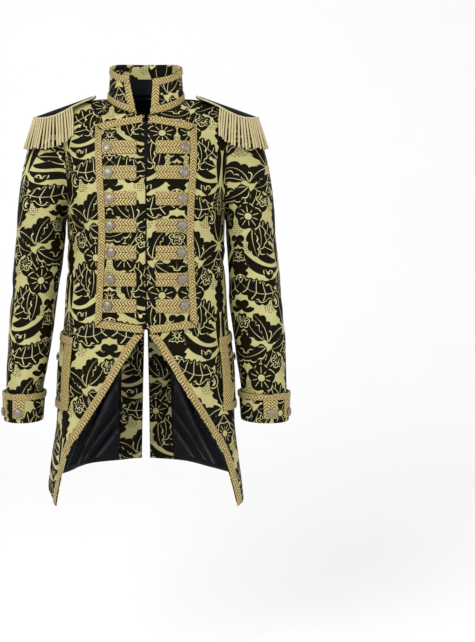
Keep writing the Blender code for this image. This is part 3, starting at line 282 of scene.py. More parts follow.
# Finer creases of the body: place, the way they run (0 is level), reach both ways, depth.
BODY_CREASES = {
    "right": table(
        "angle z tilt length width depth",
        (62, -0.215, 38, 0.034, 0.0075, -0.0022), (70, -0.262, 20, 0.030, 0.0070, 0.0016),
        (82, -0.322, 8, 0.036, 0.0075, -0.0026), (74, -0.352, -6, 0.042, 0.0080, 0.0020),
        (86, -0.384, 4, 0.034, 0.0075, -0.0028), (66, -0.408, -14, 0.036, 0.0080, -0.0018),
        (52, -0.300, -24, 0.036, 0.0090, 0.0014), (44, -0.452, 62, 0.040, 0.0090, -0.0014),
        (118, -0.330, 12, 0.044, 0.0085, -0.0026), (132, -0.362, -8, 0.050, 0.0085, 0.0020),
        (112, -0.398, 4, 0.040, 0.0080, -0.0024), (150, -0.345, -16, 0.046, 0.0090, -0.0018),
        (126, -0.235, -42, 0.040, 0.0080, -0.0018), (160, -0.200, -70, 0.050, 0.0110, 0.0012),
        (70, -0.760, 84, 0.070, 0.0100, -0.0022), (88, -0.800, 92, 0.060, 0.0090, 0.0020),
        (112, -0.730, 86, 0.075, 0.0100, -0.0024), (136, -0.790, 95, 0.060, 0.0095, 0.0020),
        (156, -0.700, 88, 0.090, 0.0100, -0.0020), (172, -0.800, 93, 0.050, 0.0090, 0.0014),
    ),
    "left": table(
        "angle z tilt length width depth",
        (60, -0.228, 44, 0.036, 0.0075, -0.0020), (72, -0.282, 12, 0.032, 0.0070, -0.0022),
        (80, -0.338, -4, 0.040, 0.0080, 0.0020), (84, -0.366, 10, 0.034, 0.0075, -0.0028),
        (70, -0.396, -8, 0.040, 0.0080, 0.0016), (62, -0.426, -20, 0.034, 0.0080, -0.0020),
        (48, -0.318, -30, 0.040, 0.0090, 0.0012), (40, -0.470, 58, 0.036, 0.0090, -0.0014),
        (114, -0.318, 16, 0.044, 0.0085, -0.0024), (128, -0.374, -6, 0.048, 0.0085, -0.0022),
        (110, -0.350, 2, 0.040, 0.0080, 0.0020), (148, -0.390, -12, 0.046, 0.0090, 0.0016),
        (124, -0.250, -36, 0.040, 0.0080, -0.0018), (158, -0.240, -64, 0.050, 0.0110, -0.0012),
        (64, -0.740, 82, 0.075, 0.0100, 0.0020), (84, -0.780, 90, 0.065, 0.0090, -0.0022),
        (106, -0.790, 94, 0.060, 0.0100, 0.0022), (130, -0.720, 87, 0.080, 0.0095, -0.0022),
        (150, -0.780, 92, 0.060, 0.0100, 0.0018), (170, -0.690, 88, 0.085, 0.0090, -0.0014),
    ),
}

# Finer creases of the sleeves: height, place round, reach both ways, depth, slant.
SLEEVE_FINE = {
    "right": table(
        "z around height spread depth slant",
        (-0.330, 0.12, 0.010, 0.10, -0.0022, 0.20), (-0.365, 0.30, 0.009, 0.09, 0.0016, -0.10),
        (-0.410, 0.30, 0.008, 0.10, -0.0026, 0.16), (-0.455, 0.33, 0.008, 0.11, 0.0020, 0.10),
        (-0.500, 0.33, 0.009, 0.10, -0.0026, -0.14), (-0.548, 0.22, 0.009, 0.12, 0.0018, 0.18),
        (-0.615, 0.24, 0.009, 0.12, -0.0022, 0.12), (-0.350, 0.72, 0.010, 0.10, -0.0020, 0.20),
        (-0.470, 0.66, 0.009, 0.12, -0.0024, -0.16), (-0.560, 0.72, 0.009, 0.12, 0.0020, 0.14),
        (-0.628, 0.62, 0.008, 0.12, -0.0020, 0.10), (-0.260, 0.10, 0.012, 0.08, -0.0030, 0.30),
    ),
    "left": table(
        "z around height spread depth slant",
        (-0.320, 0.14, 0.010, 0.10, -0.0024, 0.24), (-0.352, 0.34, 0.009, 0.08, -0.0016, -0.12),
        (-0.398, 0.26, 0.008, 0.11, 0.0020, 0.14), (-0.440, 0.36, 0.009, 0.10, -0.0026, 0.18),
        (-0.490, 0.26, 0.008, 0.12, -0.0024, -0.10), (-0.535, 0.34, 0.009, 0.10, 0.0018, 0.16),
        (-0.600, 0.28, 0.009, 0.12, -0.0022, 0.14), (-0.370, 0.68, 0.010, 0.10, 0.0018, 0.20),
        (-0.450, 0.70, 0.009, 0.12, -0.0024, -0.14), (-0.540, 0.66, 0.009, 0.12, -0.0020, 0.12),
        (-0.620, 0.70, 0.008, 0.12, 0.0018, 0.10), (-0.252, 0.12, 0.012, 0.08, -0.0030, 0.30),
    ),
}

CREASE_RADIUS = 0.17    # of the body, to turn angles into distances
CREASE_BOW = 2.5
SLEEVE_BOW = 0.5
CREASE_SLANT = 0.12     # of the sleeves' larger creases
ABOVE = 0.5             # a height over the whole jacket

CELL = (112.0, 352.0)    # half the damask's width between its mirror axes, and its height
FAR = 30.0               # mm, where no line is drawn

# One curved leaf a row, in mm. It starts at x y along heading and turns by bend over its length.
# left and right are its half widths, full is where along it is widest, lobes and notch shape its
# edge, and rib and veins say how it is drawn. Later rows lie over earlier ones.
LEAVES = table(
    "x y heading length bend left right full lobes notch rib veins",
    # leaves that lie under the others
    (112, 318, 90, 74, 0, 20, 20, 0.50, 4, 0.44, 1, 0),
    (112, 150, 90, 62, 0, 24, 24, 0.45, 4, 0.42, 0, 0),
    # long curved leaves that sweep out from the palmette
    (4, 168, -58, 128, 112, 12.4, 10.1, 0.55, 0, 0.0, 0, 0),
    (12, 180, -36, 106, 112, 11.5, 9.7, 0.52, 0, 0.0, 0, 0),
    (16, 194, -14, 86, 104, 11, 9.2, 0.50, 0, 0.0, 0, 0),
    # palmette on the first axis
    (18, 214, 8, 66, 34, 18.9, 19.8, 0.60, 4, 0.42, 1, 0),
    (14, 230, 50, 70, -30, 24.1, 21.5, 0.62, 5, 0.44, 1, 1),
    (0, 250, 90, 72, 0, 19.8, 19.8, 0.52, 4, 0.44, 0, 0),
    (9.2, 172, 88, 88, 4, 8.1, 7.7, 0.62, 0, 0.0, 0, 0),
    (1, 172, -86, 72, 10, 17.5, 18.4, 0.42, 0, 0.0, 1, 9),
    # great acanthus leaf on the second axis
    (34, 136, -66, 60, 60, 16.3, 15.5, 0.50, 3, 0.42, 1, 0),
    (24, 128, -26, 106, 84, 32.7, 21.5, 0.52, 5, 0.44, 1, 1),
    # leaves hanging from the blossom
    (62, 272, -116, 56, 50, 15.5, 15.5, 0.5, 3, 0.42, 1, 0),
    (74, 262, -80, 62, -34, 15.5, 14.6, 0.5, 3, 0.42, 1, 0),
    # fan of petals above the blossom
    (70, 302, 170, 46, -50, 12.9, 12.9, 0.60, 0, 0.0, 0, 0),
    (75, 308, 138, 54, -36, 12.9, 12.9, 0.62, 0, 0.0, 1, 0),
    (82, 310, 104, 56, -14, 12.9, 12.9, 0.62, 0, 0.0, 1, 0),
    (90, 306, 70, 48, 10, 12, 12, 0.62, 0, 0.0, 0, 0),
    # lower group on the first axis
    (0, 34, -62, 66, 60, 18.1, 18.1, 0.5, 3, 0.42, 1, 0),
    (6, 46, -4, 66, -56, 18.9, 18.1, 0.55, 4, 0.42, 1, 0),
    (0, 52, 54, 78, 52, 24.1, 21.5, 0.58, 5, 0.44, 1, 0),
    # sprays towards the second axis
    (64, 6, -46, 62, 44, 17.2, 16.3, 0.5, 3, 0.42, 1, 0),
    (60, 16, 94, 68, -56, 18.9, 16.3, 0.55, 4, 0.42, 1, 0),
    (66, 20, 24, 66, 62, 20.6, 18.1, 0.58, 4, 0.44, 1, 0),
)
# Scrolls: middle, outer radius, turns, half width at the outer end, start angle, hand.
SCROLLS = table(
    "x y radius turns half start hand",
    (101, 98, 17, 1.25, 6.2, 200, 1),
    (40, 166, 14, 1.2, 5.4, 330, -1),
    (30, 102, 15, 1.25, 5.6, 100, 1),
    (101, 240, 14, 1.2, 5.2, 250, 1),
)
# Rosettes: middle, radius, petals, notch, eye radius, turn.
ROSETTES = table(
    "x y radius petals notch eye turn",
    (80, 290, 32, 5, 0.20, 7.5, 20),
    (112, 206, 19, 5, 0.35, 4.2, 0),
    (0, 344, 27, 6, 0.22, 6.6, 0),
    (40, 326, 17, 5, 0.34, 3.8, 10),
    (112, 62, 18, 6, 0.30, 4.0, 0),
)
SEEDS = table("x y wide high", (112, 266, 22, 16), (84, 224, 16, 14), (46, 92, 14, 14), (20, 314, 14, 14))
SCROLL_END = 0.16        # radius at a scroll's inner end, as a share of its outer one
LINE_INSET = 1.1         # mm from a motif's edge to the pale line round it


def wrapped(y, middle):
    half = CELL[1] / 2
    return (y - middle + half) % CELL[1] - half


def leaf_fields(x, y, row):
    """Signed distance, line and vein fields of one leaf."""
    x0, y0, heading, length, bend, left, right, full, lobes, notch, rib, veins = row
    a, b = math.radians(heading), math.radians(bend)
    middle = y0 + length / 2 * math.sin(a + b / 2)
    dx, dy = x - x0, wrapped(y, middle) + middle - y0
    along = dx * math.cos(a) + dy * math.sin(a)
    side = dy * math.cos(a) - dx * math.sin(a)
    if bend:
        radius = length / b
        hand = math.copysign(1.0, radius)
        out = np.hypot(along, radius - side)
        along = np.arctan2(along, (radius - side) * hand) * abs(radius)
        side = (abs(radius) - out) * hand
    t = along / length
    tc = np.clip(t, 0.0, 1.0)
    phase = lobes * tc - 0.55 * np.abs(side) / max(left, right)
    width = np.where(side > 0, left, right) * np.sin(np.pi * tc ** (math.log(0.5) / math.log(full))) ** 0.6
    width = width * (1 - notch * (1 - np.abs(np.sin(np.pi * phase)) ** 0.7))
    beyond = np.maximum(np.maximum(-along, along - length), 0.0)
    d = np.where(beyond > 0, np.hypot(side, beyond) + 0.5, np.abs(side) - width)
    line = side / np.maximum(1.5 - 1.3 * t, 0.05) if rib else np.full_like(side, FAR)
    vein = np.full_like(side, 0.5)
    if veins:
        vein = phase + 0.5 if veins == 1 else (along - 0.9 * np.abs(side)) / veins
    return d, line, vein


def scroll_fields(x, y, row):
    """Signed distance of one tapering scroll."""
    cx, cy, radius, turns, half, start, hand = row
    dx, dy = x - cx, wrapped(y, cy)
    r = np.maximum(np.hypot(dx, dy), 1e-6)
    angle = (np.arctan2(dy, dx) * hand - math.radians(start)) % (2 * math.pi)
    rate = math.log(SCROLL_END) / (2 * math.pi * turns)
    count = np.round((np.log(r / radius) / rate - angle) / (2 * math.pi))
    total = angle + 2 * math.pi * np.clip(count, 0, math.ceil(turns))
    line = radius * np.exp(rate * total)
    d = np.where(total <= 2 * math.pi * turns, np.abs(r - line) - half * (line / radius) ** 0.45, FAR)
    return np.minimum(d, r - half * 0.9), np.full_like(r, FAR), np.full_like(r, 0.5)


def rosette_fields(x, y, row):
    """Signed distance and petal lines of one blossom with a pale eye."""
    cx, cy, radius, petals, notch, eye, turn = row
    dx, dy = x - cx, wrapped(y, cy)
    r = np.hypot(dx, dy)
    angle = np.arctan2(dy, dx) - math.radians(turn)
    edge = radius * (1 - notch * (1 - np.abs(np.cos(petals * angle / 2))))
    line = r * np.sin(petals * (angle - math.pi / petals)) / petals
    line = np.where(r > 0.8 * edge, np.copysign(FAR, line), line)
    return np.maximum(r - edge, eye - r), line, np.full_like(r, 0.5)


def damask(x, y):
    """Motif and seed fields of the damask, and the fields of each motif in the order they are laid."""
    x = np.abs((x + CELL[0]) % (2 * CELL[0]) - CELL[0])
    y = y % CELL[1]
    kinds = ((LEAVES, leaf_fields), (SCROLLS, scroll_fields), (ROSETTES, rosette_fields))
    stack = np.array([
        np.broadcast_arrays(*fields(x, y, row)) for rows, fields in kinds for row in zip(*rows.values())
    ])
    seed = np.full(x.shape, 5.0)
    for cx, cy, wide, high in zip(*SEEDS.values()):
        seed = np.minimum(seed, np.hypot((x - cx) / wide, wrapped(y, cy) / high) - 1)
    return {"motif": stack[:, 0].min(axis=0), "seed": seed, "stack": stack}


def drawn_lines(stack, r, c, sizes):
    """Outline, rib and vein values at face corners, where each face follows one motif throughout."""
    d, line, vein = stack[:, 0][:, r, c], stack[:, 1][:, r, c], stack[:, 2][:, r, c]
    sizes = np.array(sizes)
    starts = np.concatenate([[0], np.cumsum(sizes)[:-1]])
    middle = np.add.reduceat(d, starts, axis=1) / sizes
    rank = np.arange(len(d))[:, None]
    top = np.where(middle < 0, rank, -1).max(axis=0)
    nearest = np.where(rank >= top, np.abs(middle + LINE_INSET), np.inf).argmin(axis=0)
    at = np.arange(len(r))
    top, nearest = np.repeat(top, sizes), np.repeat(nearest, sizes)
    return {
        "edge": d[nearest, at] + LINE_INSET,
        "line": np.where(top < 0, FAR, line[top, at]),
        "vein": np.where(top < 0, 0.5, vein[top, at]),
    }


def read(rows, column, at, by="z"):
    """A column's value at a place between the rows, on a smooth curve without overshoot."""
    order = np.argsort(rows[by])
    xs, ys = rows[by][order], rows[column][order]
    step = np.diff(xs)
    slope = np.diff(ys) / step
    tangent = np.empty_like(ys)
    tangent[0], tangent[-1] = slope[0], slope[-1]
    product = slope[:-1] * slope[1:]
    total = np.where(slope[:-1] + slope[1:] == 0, 1.0, slope[:-1] + slope[1:])
    tangent[1:-1] = np.where(product > 0, 2 * product / total, 0.0)
    at = np.clip(at, xs[0], xs[-1])
    i = np.clip(np.searchsorted(xs, at) - 1, 0, len(xs) - 2)
    t = (at - xs[i]) / step[i]
    return hermite(ys[i], tangent[i] * step[i], ys[i + 1], tangent[i + 1] * step[i], t)


def hermite(start, start_pull, end, end_pull, t):
    """Cubic from start to end with the given tangents."""
    return (
        start * (2 * t**3 - 3 * t**2 + 1) + start_pull * (t**3 - 2 * t**2 + t)
        + end * (3 * t**2 - 2 * t**3) + end_pull * (t**3 - t**2)
    )


def vectors(*parts):
    """One array of points from an array for each coordinate."""
    return np.stack(np.broadcast_arrays(*parts), axis=-1).astype(float)


def mirror(sign):
    """Factors that put points of the wearer's left side on either side."""
    return np.array([sign, 1.0, 1.0])


def between(pair, share):
    """The value a share of the way from the first of a pair to the second."""
    return pair[0] + (pair[1] - pair[0]) * share


def cosine_heights(front, side, back, angle):
    """A height round the neck that passes through its front, side and back values."""
    c = np.cos(angle)
    return side + 0.5 * (front - back) * c + (0.5 * (front + back) - side) * c**2


def body_creases(side, angle, z):
    """How far the body's finer creases move its surface."""
    move = np.zeros(np.broadcast(angle, z).shape)
    for middle, level, tilt, length, width, depth in zip(*BODY_CREASES[side].values()):
        away = (angle - math.radians(middle)) * CREASE_RADIUS
        rise = z - level
        turn = math.radians(tilt)
        along = away * math.cos(turn) + rise * math.sin(turn)
        across = rise * math.cos(turn) - away * math.sin(turn) - CREASE_BOW * along**2
        move = move + depth * np.exp(-((along / length) ** 2) - (across / width) ** 2)
    return move


def torso(side, angle, z):
    """Body form at an angle from centre front, for the wearer's left side; the right is mirrored."""
    s, c = np.sin(angle), np.cos(angle)
    depth = np.where(c > 0, read(TORSO, "front_depth", z), read(TORSO, "back_depth", z))
    flute = np.zeros(np.broadcast(angle, z).shape)
    rows = FLUTES[side]
    for middle, spread, deep, top in zip(rows["angle"], rows["spread"], rows["depth"], rows["top"]):
        fall = np.clip((top - z) / (top - FLUTE_FOOT), 0.0, 1.0)
        flute = flute + deep * fall**1.3 * np.exp(-((np.degrees(angle) - middle) / spread) ** 2)
    flute = flute + body_creases(side, angle, z)
    x = read(TORSO, "half_width", z) * np.abs(s) ** SQUARE + flute * s
    y = -np.sign(c) * depth * np.abs(c) ** SQUARE - flute * c
    return vectors(x, y, z)


def angle_at(x, z, back=False):
    """Angle of the torso point that lies x from the middle."""
    angle = np.arcsin(np.clip(x / read(TORSO, "half_width", z), 0.0, 1.0) ** (1 / SQUARE))
    return math.pi - angle if back else angle


def neck(angle):
    """Neck line at the base of the collar."""
    z = cosine_heights(NECK_FRONT_Z, NECK_SIDE_Z, NECK_BACK_Z, angle)
    return vectors(NECK_HALF_WIDTH * np.sin(angle), -NECK_HALF_DEPTH * np.cos(angle), z)


def panel(side, rows, edge, yoke_end, back, u, v):
    """A body panel: u from its centre edge to its side, v from the hem to the shoulder seam."""
    u, v = np.broadcast_arrays(np.asarray(u, float), np.asarray(v, float))
    low = np.minimum(v, V_YOKE)
    z_edge = read(rows, "z_edge", low, "v")
    z_side = read(rows, "z_side", low, "v")
    x_edge = read(edge, "x", z_edge)
    start = angle_at(x_edge, z_edge, back)
    seam = SEAM / 2 / NECK_HALF_WIDTH * (1 if back else -1)
    end = np.radians(read(rows, "side_angle", low, "v")) + seam * 0.5
    angle = start + (end - start) * u
    z = z_edge + (z_side - z_edge) * u
    body = torso(side, angle, z)
    drop = 0.01
    lean = (body - torso(side, angle, z - drop)) / drop * YOKE_RISE
    neck_start = np.arcsin(np.clip(x_edge / NECK_HALF_WIDTH, 0.0, 1.0))
    if back:
        neck_start = math.pi - neck_start
    round_neck = np.clip(u / U_NECK, 0.0, 1.0)
    top = neck(neck_start + (NECK_SIDE_ANGLE - neck_start) * round_neck)
    along = np.clip((u - U_NECK) / (1 - U_NECK), 0.0, 1.0)[..., None]
    tip = np.array(SHOULDER_TIP)
    top = top + (tip - neck(NECK_SIDE_ANGLE)) * along
    top = top + np.array([0.0, 0.0, SHOULDER_RISE]) * along * (1 - along)
    top[..., 1] += np.where(u > U_NECK * 0.9, SEAM * 0.7, 0.0) * (1 if back else -1)
    arrive = vectors(*(read(yoke_end, key, u, "u") for key in ("dx", "dy", "dz")))
    t = np.clip((v - V_YOKE) / (1 - V_YOKE), 0.0, 1.0)[..., None]
    return hermite(body, lean, top, arrive, t)


def front_surface(side, u, v):
    return panel(side, FRONT_ROWS, FRONT_EDGE, FRONT_YOKE_END, False, u, v)


def back_surface(side, u, v):
    return panel(side, BACK_ROWS, VENT, BACK_YOKE_END, True, u, v)


def run_length(curve):
    """Distance along a curve of points from its start."""
    return np.concatenate([[0.0], np.cumsum(np.linalg.norm(np.diff(curve, axis=0), axis=1))])


def armhole(side, p):
    """Armhole: p from the underarm up the front edge to the shoulder tip, and down the back."""
    v = np.linspace(V_UNDERARM, 1.0, ARMHOLE_STEPS)
    point = np.zeros(np.shape(p) + (3,))
    for number, curve in enumerate((front_surface(side, 1.0, v), back_surface(side, 1.0, v[::-1]))):
        length = run_length(curve)
        share = np.clip(2 * p - number, 0.0, 1.0) * length[-1]
        found = vectors(*(np.interp(share, length, curve[:, axis]) for axis in range(3)))
        point = np.where(((p > 0.5) == (number == 1))[..., None], found, point)
    return point


def sleeve_ring(side, p, z):
    """Sleeve section at a height: p = 0 faces the body, 0.25 the front, 0.5 outward."""
    rows = SLEEVES[side]
    inner, outer = read(rows, "inner", z), read(rows, "outer", z)
    phi = 2 * math.pi * p
    x = (inner + outer) / 2 - (outer - inner) / 2 * np.cos(phi)
    y = read(rows, "middle", z) - read(rows, "half_depth", z) * np.sin(phi)
    return vectors(x, y, z)


def sleeve_crease(side, p, z):
    """How far the sleeve's creases move its surface."""
    move = np.zeros(np.broadcast(p, z).shape)
    for rows, bow in ((SLEEVE_CREASES[side], 0.0), (SLEEVE_FINE[side], SLEEVE_BOW)):
        leans = rows.get("slant", np.full(len(rows["z"]), CREASE_SLANT))
        for level, around, height, spread, depth, lean in zip(*list(rows.values())[:5], leans):
            turn = (p - around + 0.5) % 1.0 - 0.5
            slant = z - level - lean * turn - bow * turn**2
            move = move + depth * np.exp(-((slant / height) ** 2) - (turn / spread) ** 2)
    return move


def sleeve_surface(side, p, q):
    """Sleeve from the armhole, q = 0, to its end."""
    p, q = np.broadcast_arrays(np.asarray(p, float), np.asarray(q, float))
    head = armhole(side, p) + np.array([SEAM * 1.4, 0.0, 0.0])    # clear of the panels
    top_share = (1 - np.cos(2 * math.pi * p)) / 2
    out = between(HEAD_OUT, top_share**1.2)
    down = between(HEAD_DOWN, top_share)
    t = np.clip(q / Q_HEAD, 0.0, 1.0)[..., None]
    below = np.clip((q - Q_HEAD) / (1 - Q_HEAD), 0.0, 1.0)
    z = between((SLEEVE_HEAD_END, SLEEVE_END), below)
    ring = sleeve_ring(side, p, z)
    first_ring = sleeve_ring(side, p, np.full_like(z, SLEEVE_HEAD_END))
    cap = hermite(head, vectors(out, 0.0, 0.0), first_ring, vectors(0.0, 0.0, -down), t)
    point = np.where((q <= Q_HEAD)[..., None], cap, ring)
    phi = 2 * math.pi * p
    outward = vectors(-np.cos(phi), -np.sin(phi), 0.0)
    return point + outward * sleeve_crease(side, p, point[..., 2])[..., None]


def cuff_surface(side, p, h):
    """Outer face of the turned-back cuff, h = 0 at the wrist."""
    z = between((CUFF_BOTTOM, CUFF_TOP), h)
    phi = 2 * math.pi * p
    stand = between(CUFF_STAND, h)
    outward = vectors(-np.cos(phi), -np.sin(phi), 0.0)
    return sleeve_ring(side, p, z) + outward * stand[..., None]


def collar_surface(angle, h):
    """Outer face of the stand collar at a signed angle from centre front."""
    base = neck(angle)
    base[..., 2] += COLLAR_GAP
    z = cosine_heights(COLLAR_FRONT_Z, COLLAR_SIDE_Z, COLLAR_BACK_Z, angle)
    top = vectors(COLLAR_TOP_HALF_WIDTH * np.sin(angle), -COLLAR_TOP_HALF_DEPTH * np.cos(angle), z)
    return between((base, top), np.asarray(h)[..., None])


def layer(surface, first, second, sign, inside=None, wrap=False):
    """Points of a surface and its outward normals, on the wanted side of the body.

    The surface takes two parameters. A share from 0 to 1 is kept inside that range, or wrapped
    round where the first one closes on itself.
    """
    first, second = np.broadcast_arrays(np.asarray(first, float), np.asarray(second, float))
    points = surface(first, second)

    def shifted(a, b):
        a = a % 1.0 if wrap else np.clip(a, first.min(), first.max())
        return surface(a, np.clip(b, second.min(), second.max()))

    across = shifted(first + STEP, second) - shifted(first - STEP, second)
    along = shifted(first, second + STEP) - shifted(first, second - STEP)
    n = np.cross(across, along)
    n /= np.maximum(np.linalg.norm(n, axis=-1, keepdims=True), 1e-12)
    if inside is None:    # for each point, one nearer the middle and a little lower
        inside = points * np.array([0.6, 0.0, 1.0]) - np.array([0.0, 0.0, 0.08])
    facing = np.sum(n * (points - inside), axis=-1, keepdims=True)
    n = np.where(facing < 0, -n, n)
    return points * mirror(sign), n * mirror(sign)


def cast(tree, x, z, direction=1.0):
    """Point and normal where a panel is met at x and z, looking along Y."""
    hit, normal, _, _ = tree.ray_cast(Vector((x, -direction, z)), Vector((0.0, direction, 0.0)))
    return np.array(hit), np.array(normal)


def top_at(tree, x, y):
    """Height of the highest cloth at x and y, or None beside it."""
    hit = tree.ray_cast(Vector((x, y, ABOVE)), Vector((0.0, 0.0, -1.0)))[0]
    return None if hit is None else hit.z


def cast_grid(tree, xs, zs):
    """Points and normals of the front for a grid of x and z."""
    found = [[cast(tree, x, z) for x, z in zip(row_x, row_z)] for row_x, row_z in zip(xs, zs)]
    return (np.array([[item[k] for item in row] for row in found]) for k in (0, 1))


def settle(tree, points):
    """The nearest points of the cloth below a grid of points, and the normals there."""
    near = np.empty_like(points)
    n = np.empty_like(points)
    for place in np.ndindex(points.shape[:-1]):
        hit, normal, _, _ = tree.find_nearest(Vector(points[place]))
        near[place], n[place] = hit, normal
    return near, n


def board_outline():
    """Distances along the epaulette and its half width there."""
    turns = np.radians(BOARD_ROUND_ANGLES)
    along = np.concatenate([
        BOARD_STRAP["along"], BOARD_ROUND_CENTRE + BOARD_ROUND_RADIUS * np.sin(turns),
    ])
    half = np.concatenate([BOARD_STRAP["half_width"], BOARD_ROUND_RADIUS * np.cos(turns)])
    return along, half


def board_height(tree, sign):
    """Height of the stiff board's underside, sloped like the shoulder and just clear of it."""
    along, half = board_outline()

    def shape(x, y):
        across = y - BOARD_MIDDLE_Y
        return BOARD_TILT * across - BOARD_SLOPE * (x - BOARD_START) - BOARD_DROP * across**2

    rise = []
    for a in np.linspace(along[0], along[-1], 40):
        w = np.interp(a, along, half)
        for share in np.linspace(-1.03, 1.03, 15):
            x, y = BOARD_START + a, BOARD_MIDDLE_Y + w * share
            top = top_at(tree, x * sign, y)
            if top is not None:
                rise.append(top - shape(x, y))
    start = max(rise) + BOARD_CLEAR
    return lambda x, y: start + shape(x, y)


def board_rim():
    """Closed outline of the board at its cord, evenly spaced, with the outward direction."""
    along, half = board_outline()
    front = np.stack([BOARD_START + along, BOARD_MIDDLE_Y - half], axis=1)
    back = np.stack([BOARD_START + along, BOARD_MIDDLE_Y + half], axis=1)[::-1]
    loop = np.concatenate([front, back])
    fine = np.concatenate([loop, loop[:1]])
    length = run_length(fine)
    share = (np.arange(RIM_STEPS) + 0.5) / RIM_STEPS * length[-1]
    points = np.stack([np.interp(share, length, fine[:, k]) for k in (0, 1)], axis=1)
    run = np.roll(points, -1, axis=0) - np.roll(points, 1, axis=0)
    run /= np.linalg.norm(run, axis=1, keepdims=True)
    outward = np.stack([run[:, 1], -run[:, 0]], axis=1)
    return points + outward * CORD_OUT, outward


# ---------------------------------------------------------------- meshes

def stitched(rows, columns, closed, step):
    """Faces of a sheet: a fine outer grid, a rim, and a coarser under side.

    Each face is (kind, corners), and a corner is a row, a column and 0 for outer or 1 for under.
    The column of a closed sheet may be one past the last, which is the first again.
    """
    last = columns if closed else columns - 1
    faces = []
    for r in range(rows - 1):
        for c in range(last):
            faces.append((0, ((r, c, 0), (r, c + 1, 0), (r + 1, c + 1, 0), (r + 1, c, 0))))
    for c in range(last):
        for r, (a, b) in ((0, (c + 1, c)), (rows - 1, (c, c + 1))):
            faces.append((1, ((r, a, 0), (r, b, 0), (r, b, 1), (r, a, 1))))
    if not closed:
        for r in range(rows - 1):
            for c, (a, b) in ((0, (r, r + 1)), (last, (r + 1, r))):
                faces.append((1, ((a, c, 0), (b, c, 0), (b, c, 1), (a, c, 1))))
    row_ticks = [*range(0, rows - 1, step[0]), rows - 1]
    column_ticks = [*range(0, last, step[1]), last]
    for r0, r1 in zip(row_ticks, row_ticks[1:]):
        for c0, c1 in zip(column_ticks, column_ticks[1:]):
            left = range(r0, r1) if c0 == 0 and not closed else (r0,)
            top = range(c0, c1) if r1 == rows - 1 else (c0,)
            right = range(r1, r0, -1) if c1 == last and not closed else (r1,)
            bottom = range(c1, c0, -1) if r0 == 0 else (c1,)
            loop = [(r, c0) for r in left] + [(r1, c) for c in top]
            loop += [(r, c1) for r in right] + [(r0, c) for c in bottom]
            faces.append((2, tuple((r, c, 1) for r, c in loop)))
    return faces


class Build:
    """Vertices, faces and corner values of one piece, from one or more sheets."""

    def __init__(self):
        self.points, self.faces, self.kinds, self.flat = [], [], [], []
        self.values = {}

    def add(self, points, faces, kinds, flat, values):
        start = len(self.points)
        self.points += [tuple(p) for p in points]
        self.faces += [[start + i for i in face] for face in faces]
        self.kinds += kinds
        self.flat += flat
        for name, found in values.items():
            self.values.setdefault(name, []).append(found)

    def sheet(self, outer, under, values, closed=False, step=(4, 4), faced=math.inf):
        """Add a sheet. values are grids with one more column than the points if it is closed.

        From the row faced on, the under side has the outer side's material.
        """
        rows, columns = outer.shape[:2]
        middle = (rows // 2, columns // 2)
        a, b, c = (outer[middle[0] + i, middle[1] + j] for i, j in ((0, 0), (0, 1), (1, 0)))
        outward = outer[middle] - under[middle]
        turned = np.dot(np.cross(b - a, c - a), outward) < 0
        index, points, faces, kinds, flat, loops = {}, [], [], [], [], []
        for kind, loop in stitched(rows, columns, closed, step):
            if turned:
                loop = loop[::-1]
            face = []
            for r, c, side in loop:
                key = (r, c % columns if closed else c, side)
                if key not in index:
                    index[key] = len(points)
                    points.append((under if side else outer)[key[0], key[1]])
                face.append(index[key])
                loops.append((r, c))
            faces.append(face)
            kinds.append(int(kind == 2 and min(corner[0] for corner in loop) < faced))
            flat.append(kind == 1)
        r, c = np.array(loops).T
        found = {k: v[r, c] for k, v in values.items() if k != "stack"}
        if "stack" in values:
            found.update(drawn_lines(values["stack"], r, c, [len(face) for face in faces]))
        self.add(points, faces, kinds, flat, found)

    def rings(self, points, values, closed=False, flip=False):
        """Add rings of points joined by faces, with a face at each end or closed on themselves."""
        count, around = points.shape[:2]
        loops = []
        for k in range(count if closed else count - 1):
            m = (k + 1) % count
            loops += [[(k, j), (k, j + 1), (m, j + 1), (m, j)] for j in range(around)]
        if not closed:
            first, final = ([(k, j) for j in range(around)] for k in (0, count - 1))
            loops += [first[::-1], final]
        if flip:
            loops = [loop[::-1] for loop in loops]
        faces = [[k * around + j % around for k, j in loop] for loop in loops]
        r, c = np.array([corner for loop in loops for corner in loop]).T
        found = {key: grid[r, c % grid.shape[1]] for key, grid in values.items()}
        self.add(points.reshape(-1, 3), faces, [0] * len(faces), [False] * len(faces), found)

    def object(self, name, materials, node, slot):
        mesh = bpy.data.meshes.new(name)
        mesh.from_pydata(self.points, [], self.faces)
        mesh.polygons.foreach_set("use_smooth", [not f for f in self.flat])
        mesh.polygons.foreach_set("material_index", np.array(self.kinds, np.int32))
        for key, found in self.values.items():
            found = np.concatenate(found).astype(np.float32)
            if found.ndim == 2:
                mesh.uv_layers.new(name=key).uv.foreach_set("vector", found.ravel())
            else:
                mesh.attributes.new(key, "FLOAT", "CORNER").data.foreach_set("value", found)
        for item in materials:
            mesh.materials.append(item)
        mesh.update()
        made = bpy.data.objects.new(name, mesh)
        bpy.context.scene.collection.objects.link(made)
        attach(made, "root")
        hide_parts(node)
        return made


def tree_of(*builds):
    """Search tree over the outer faces of builds."""
    points, faces = [], []
    for build in builds:
        start = len(points)
        points += build.points
        faces += [[start + i for i in f] for f, k in zip(build.faces, build.kinds) if k == 0]
    return BVHTree.FromPolygons(points, faces)


# ---------------------------------------------------------------- cloth

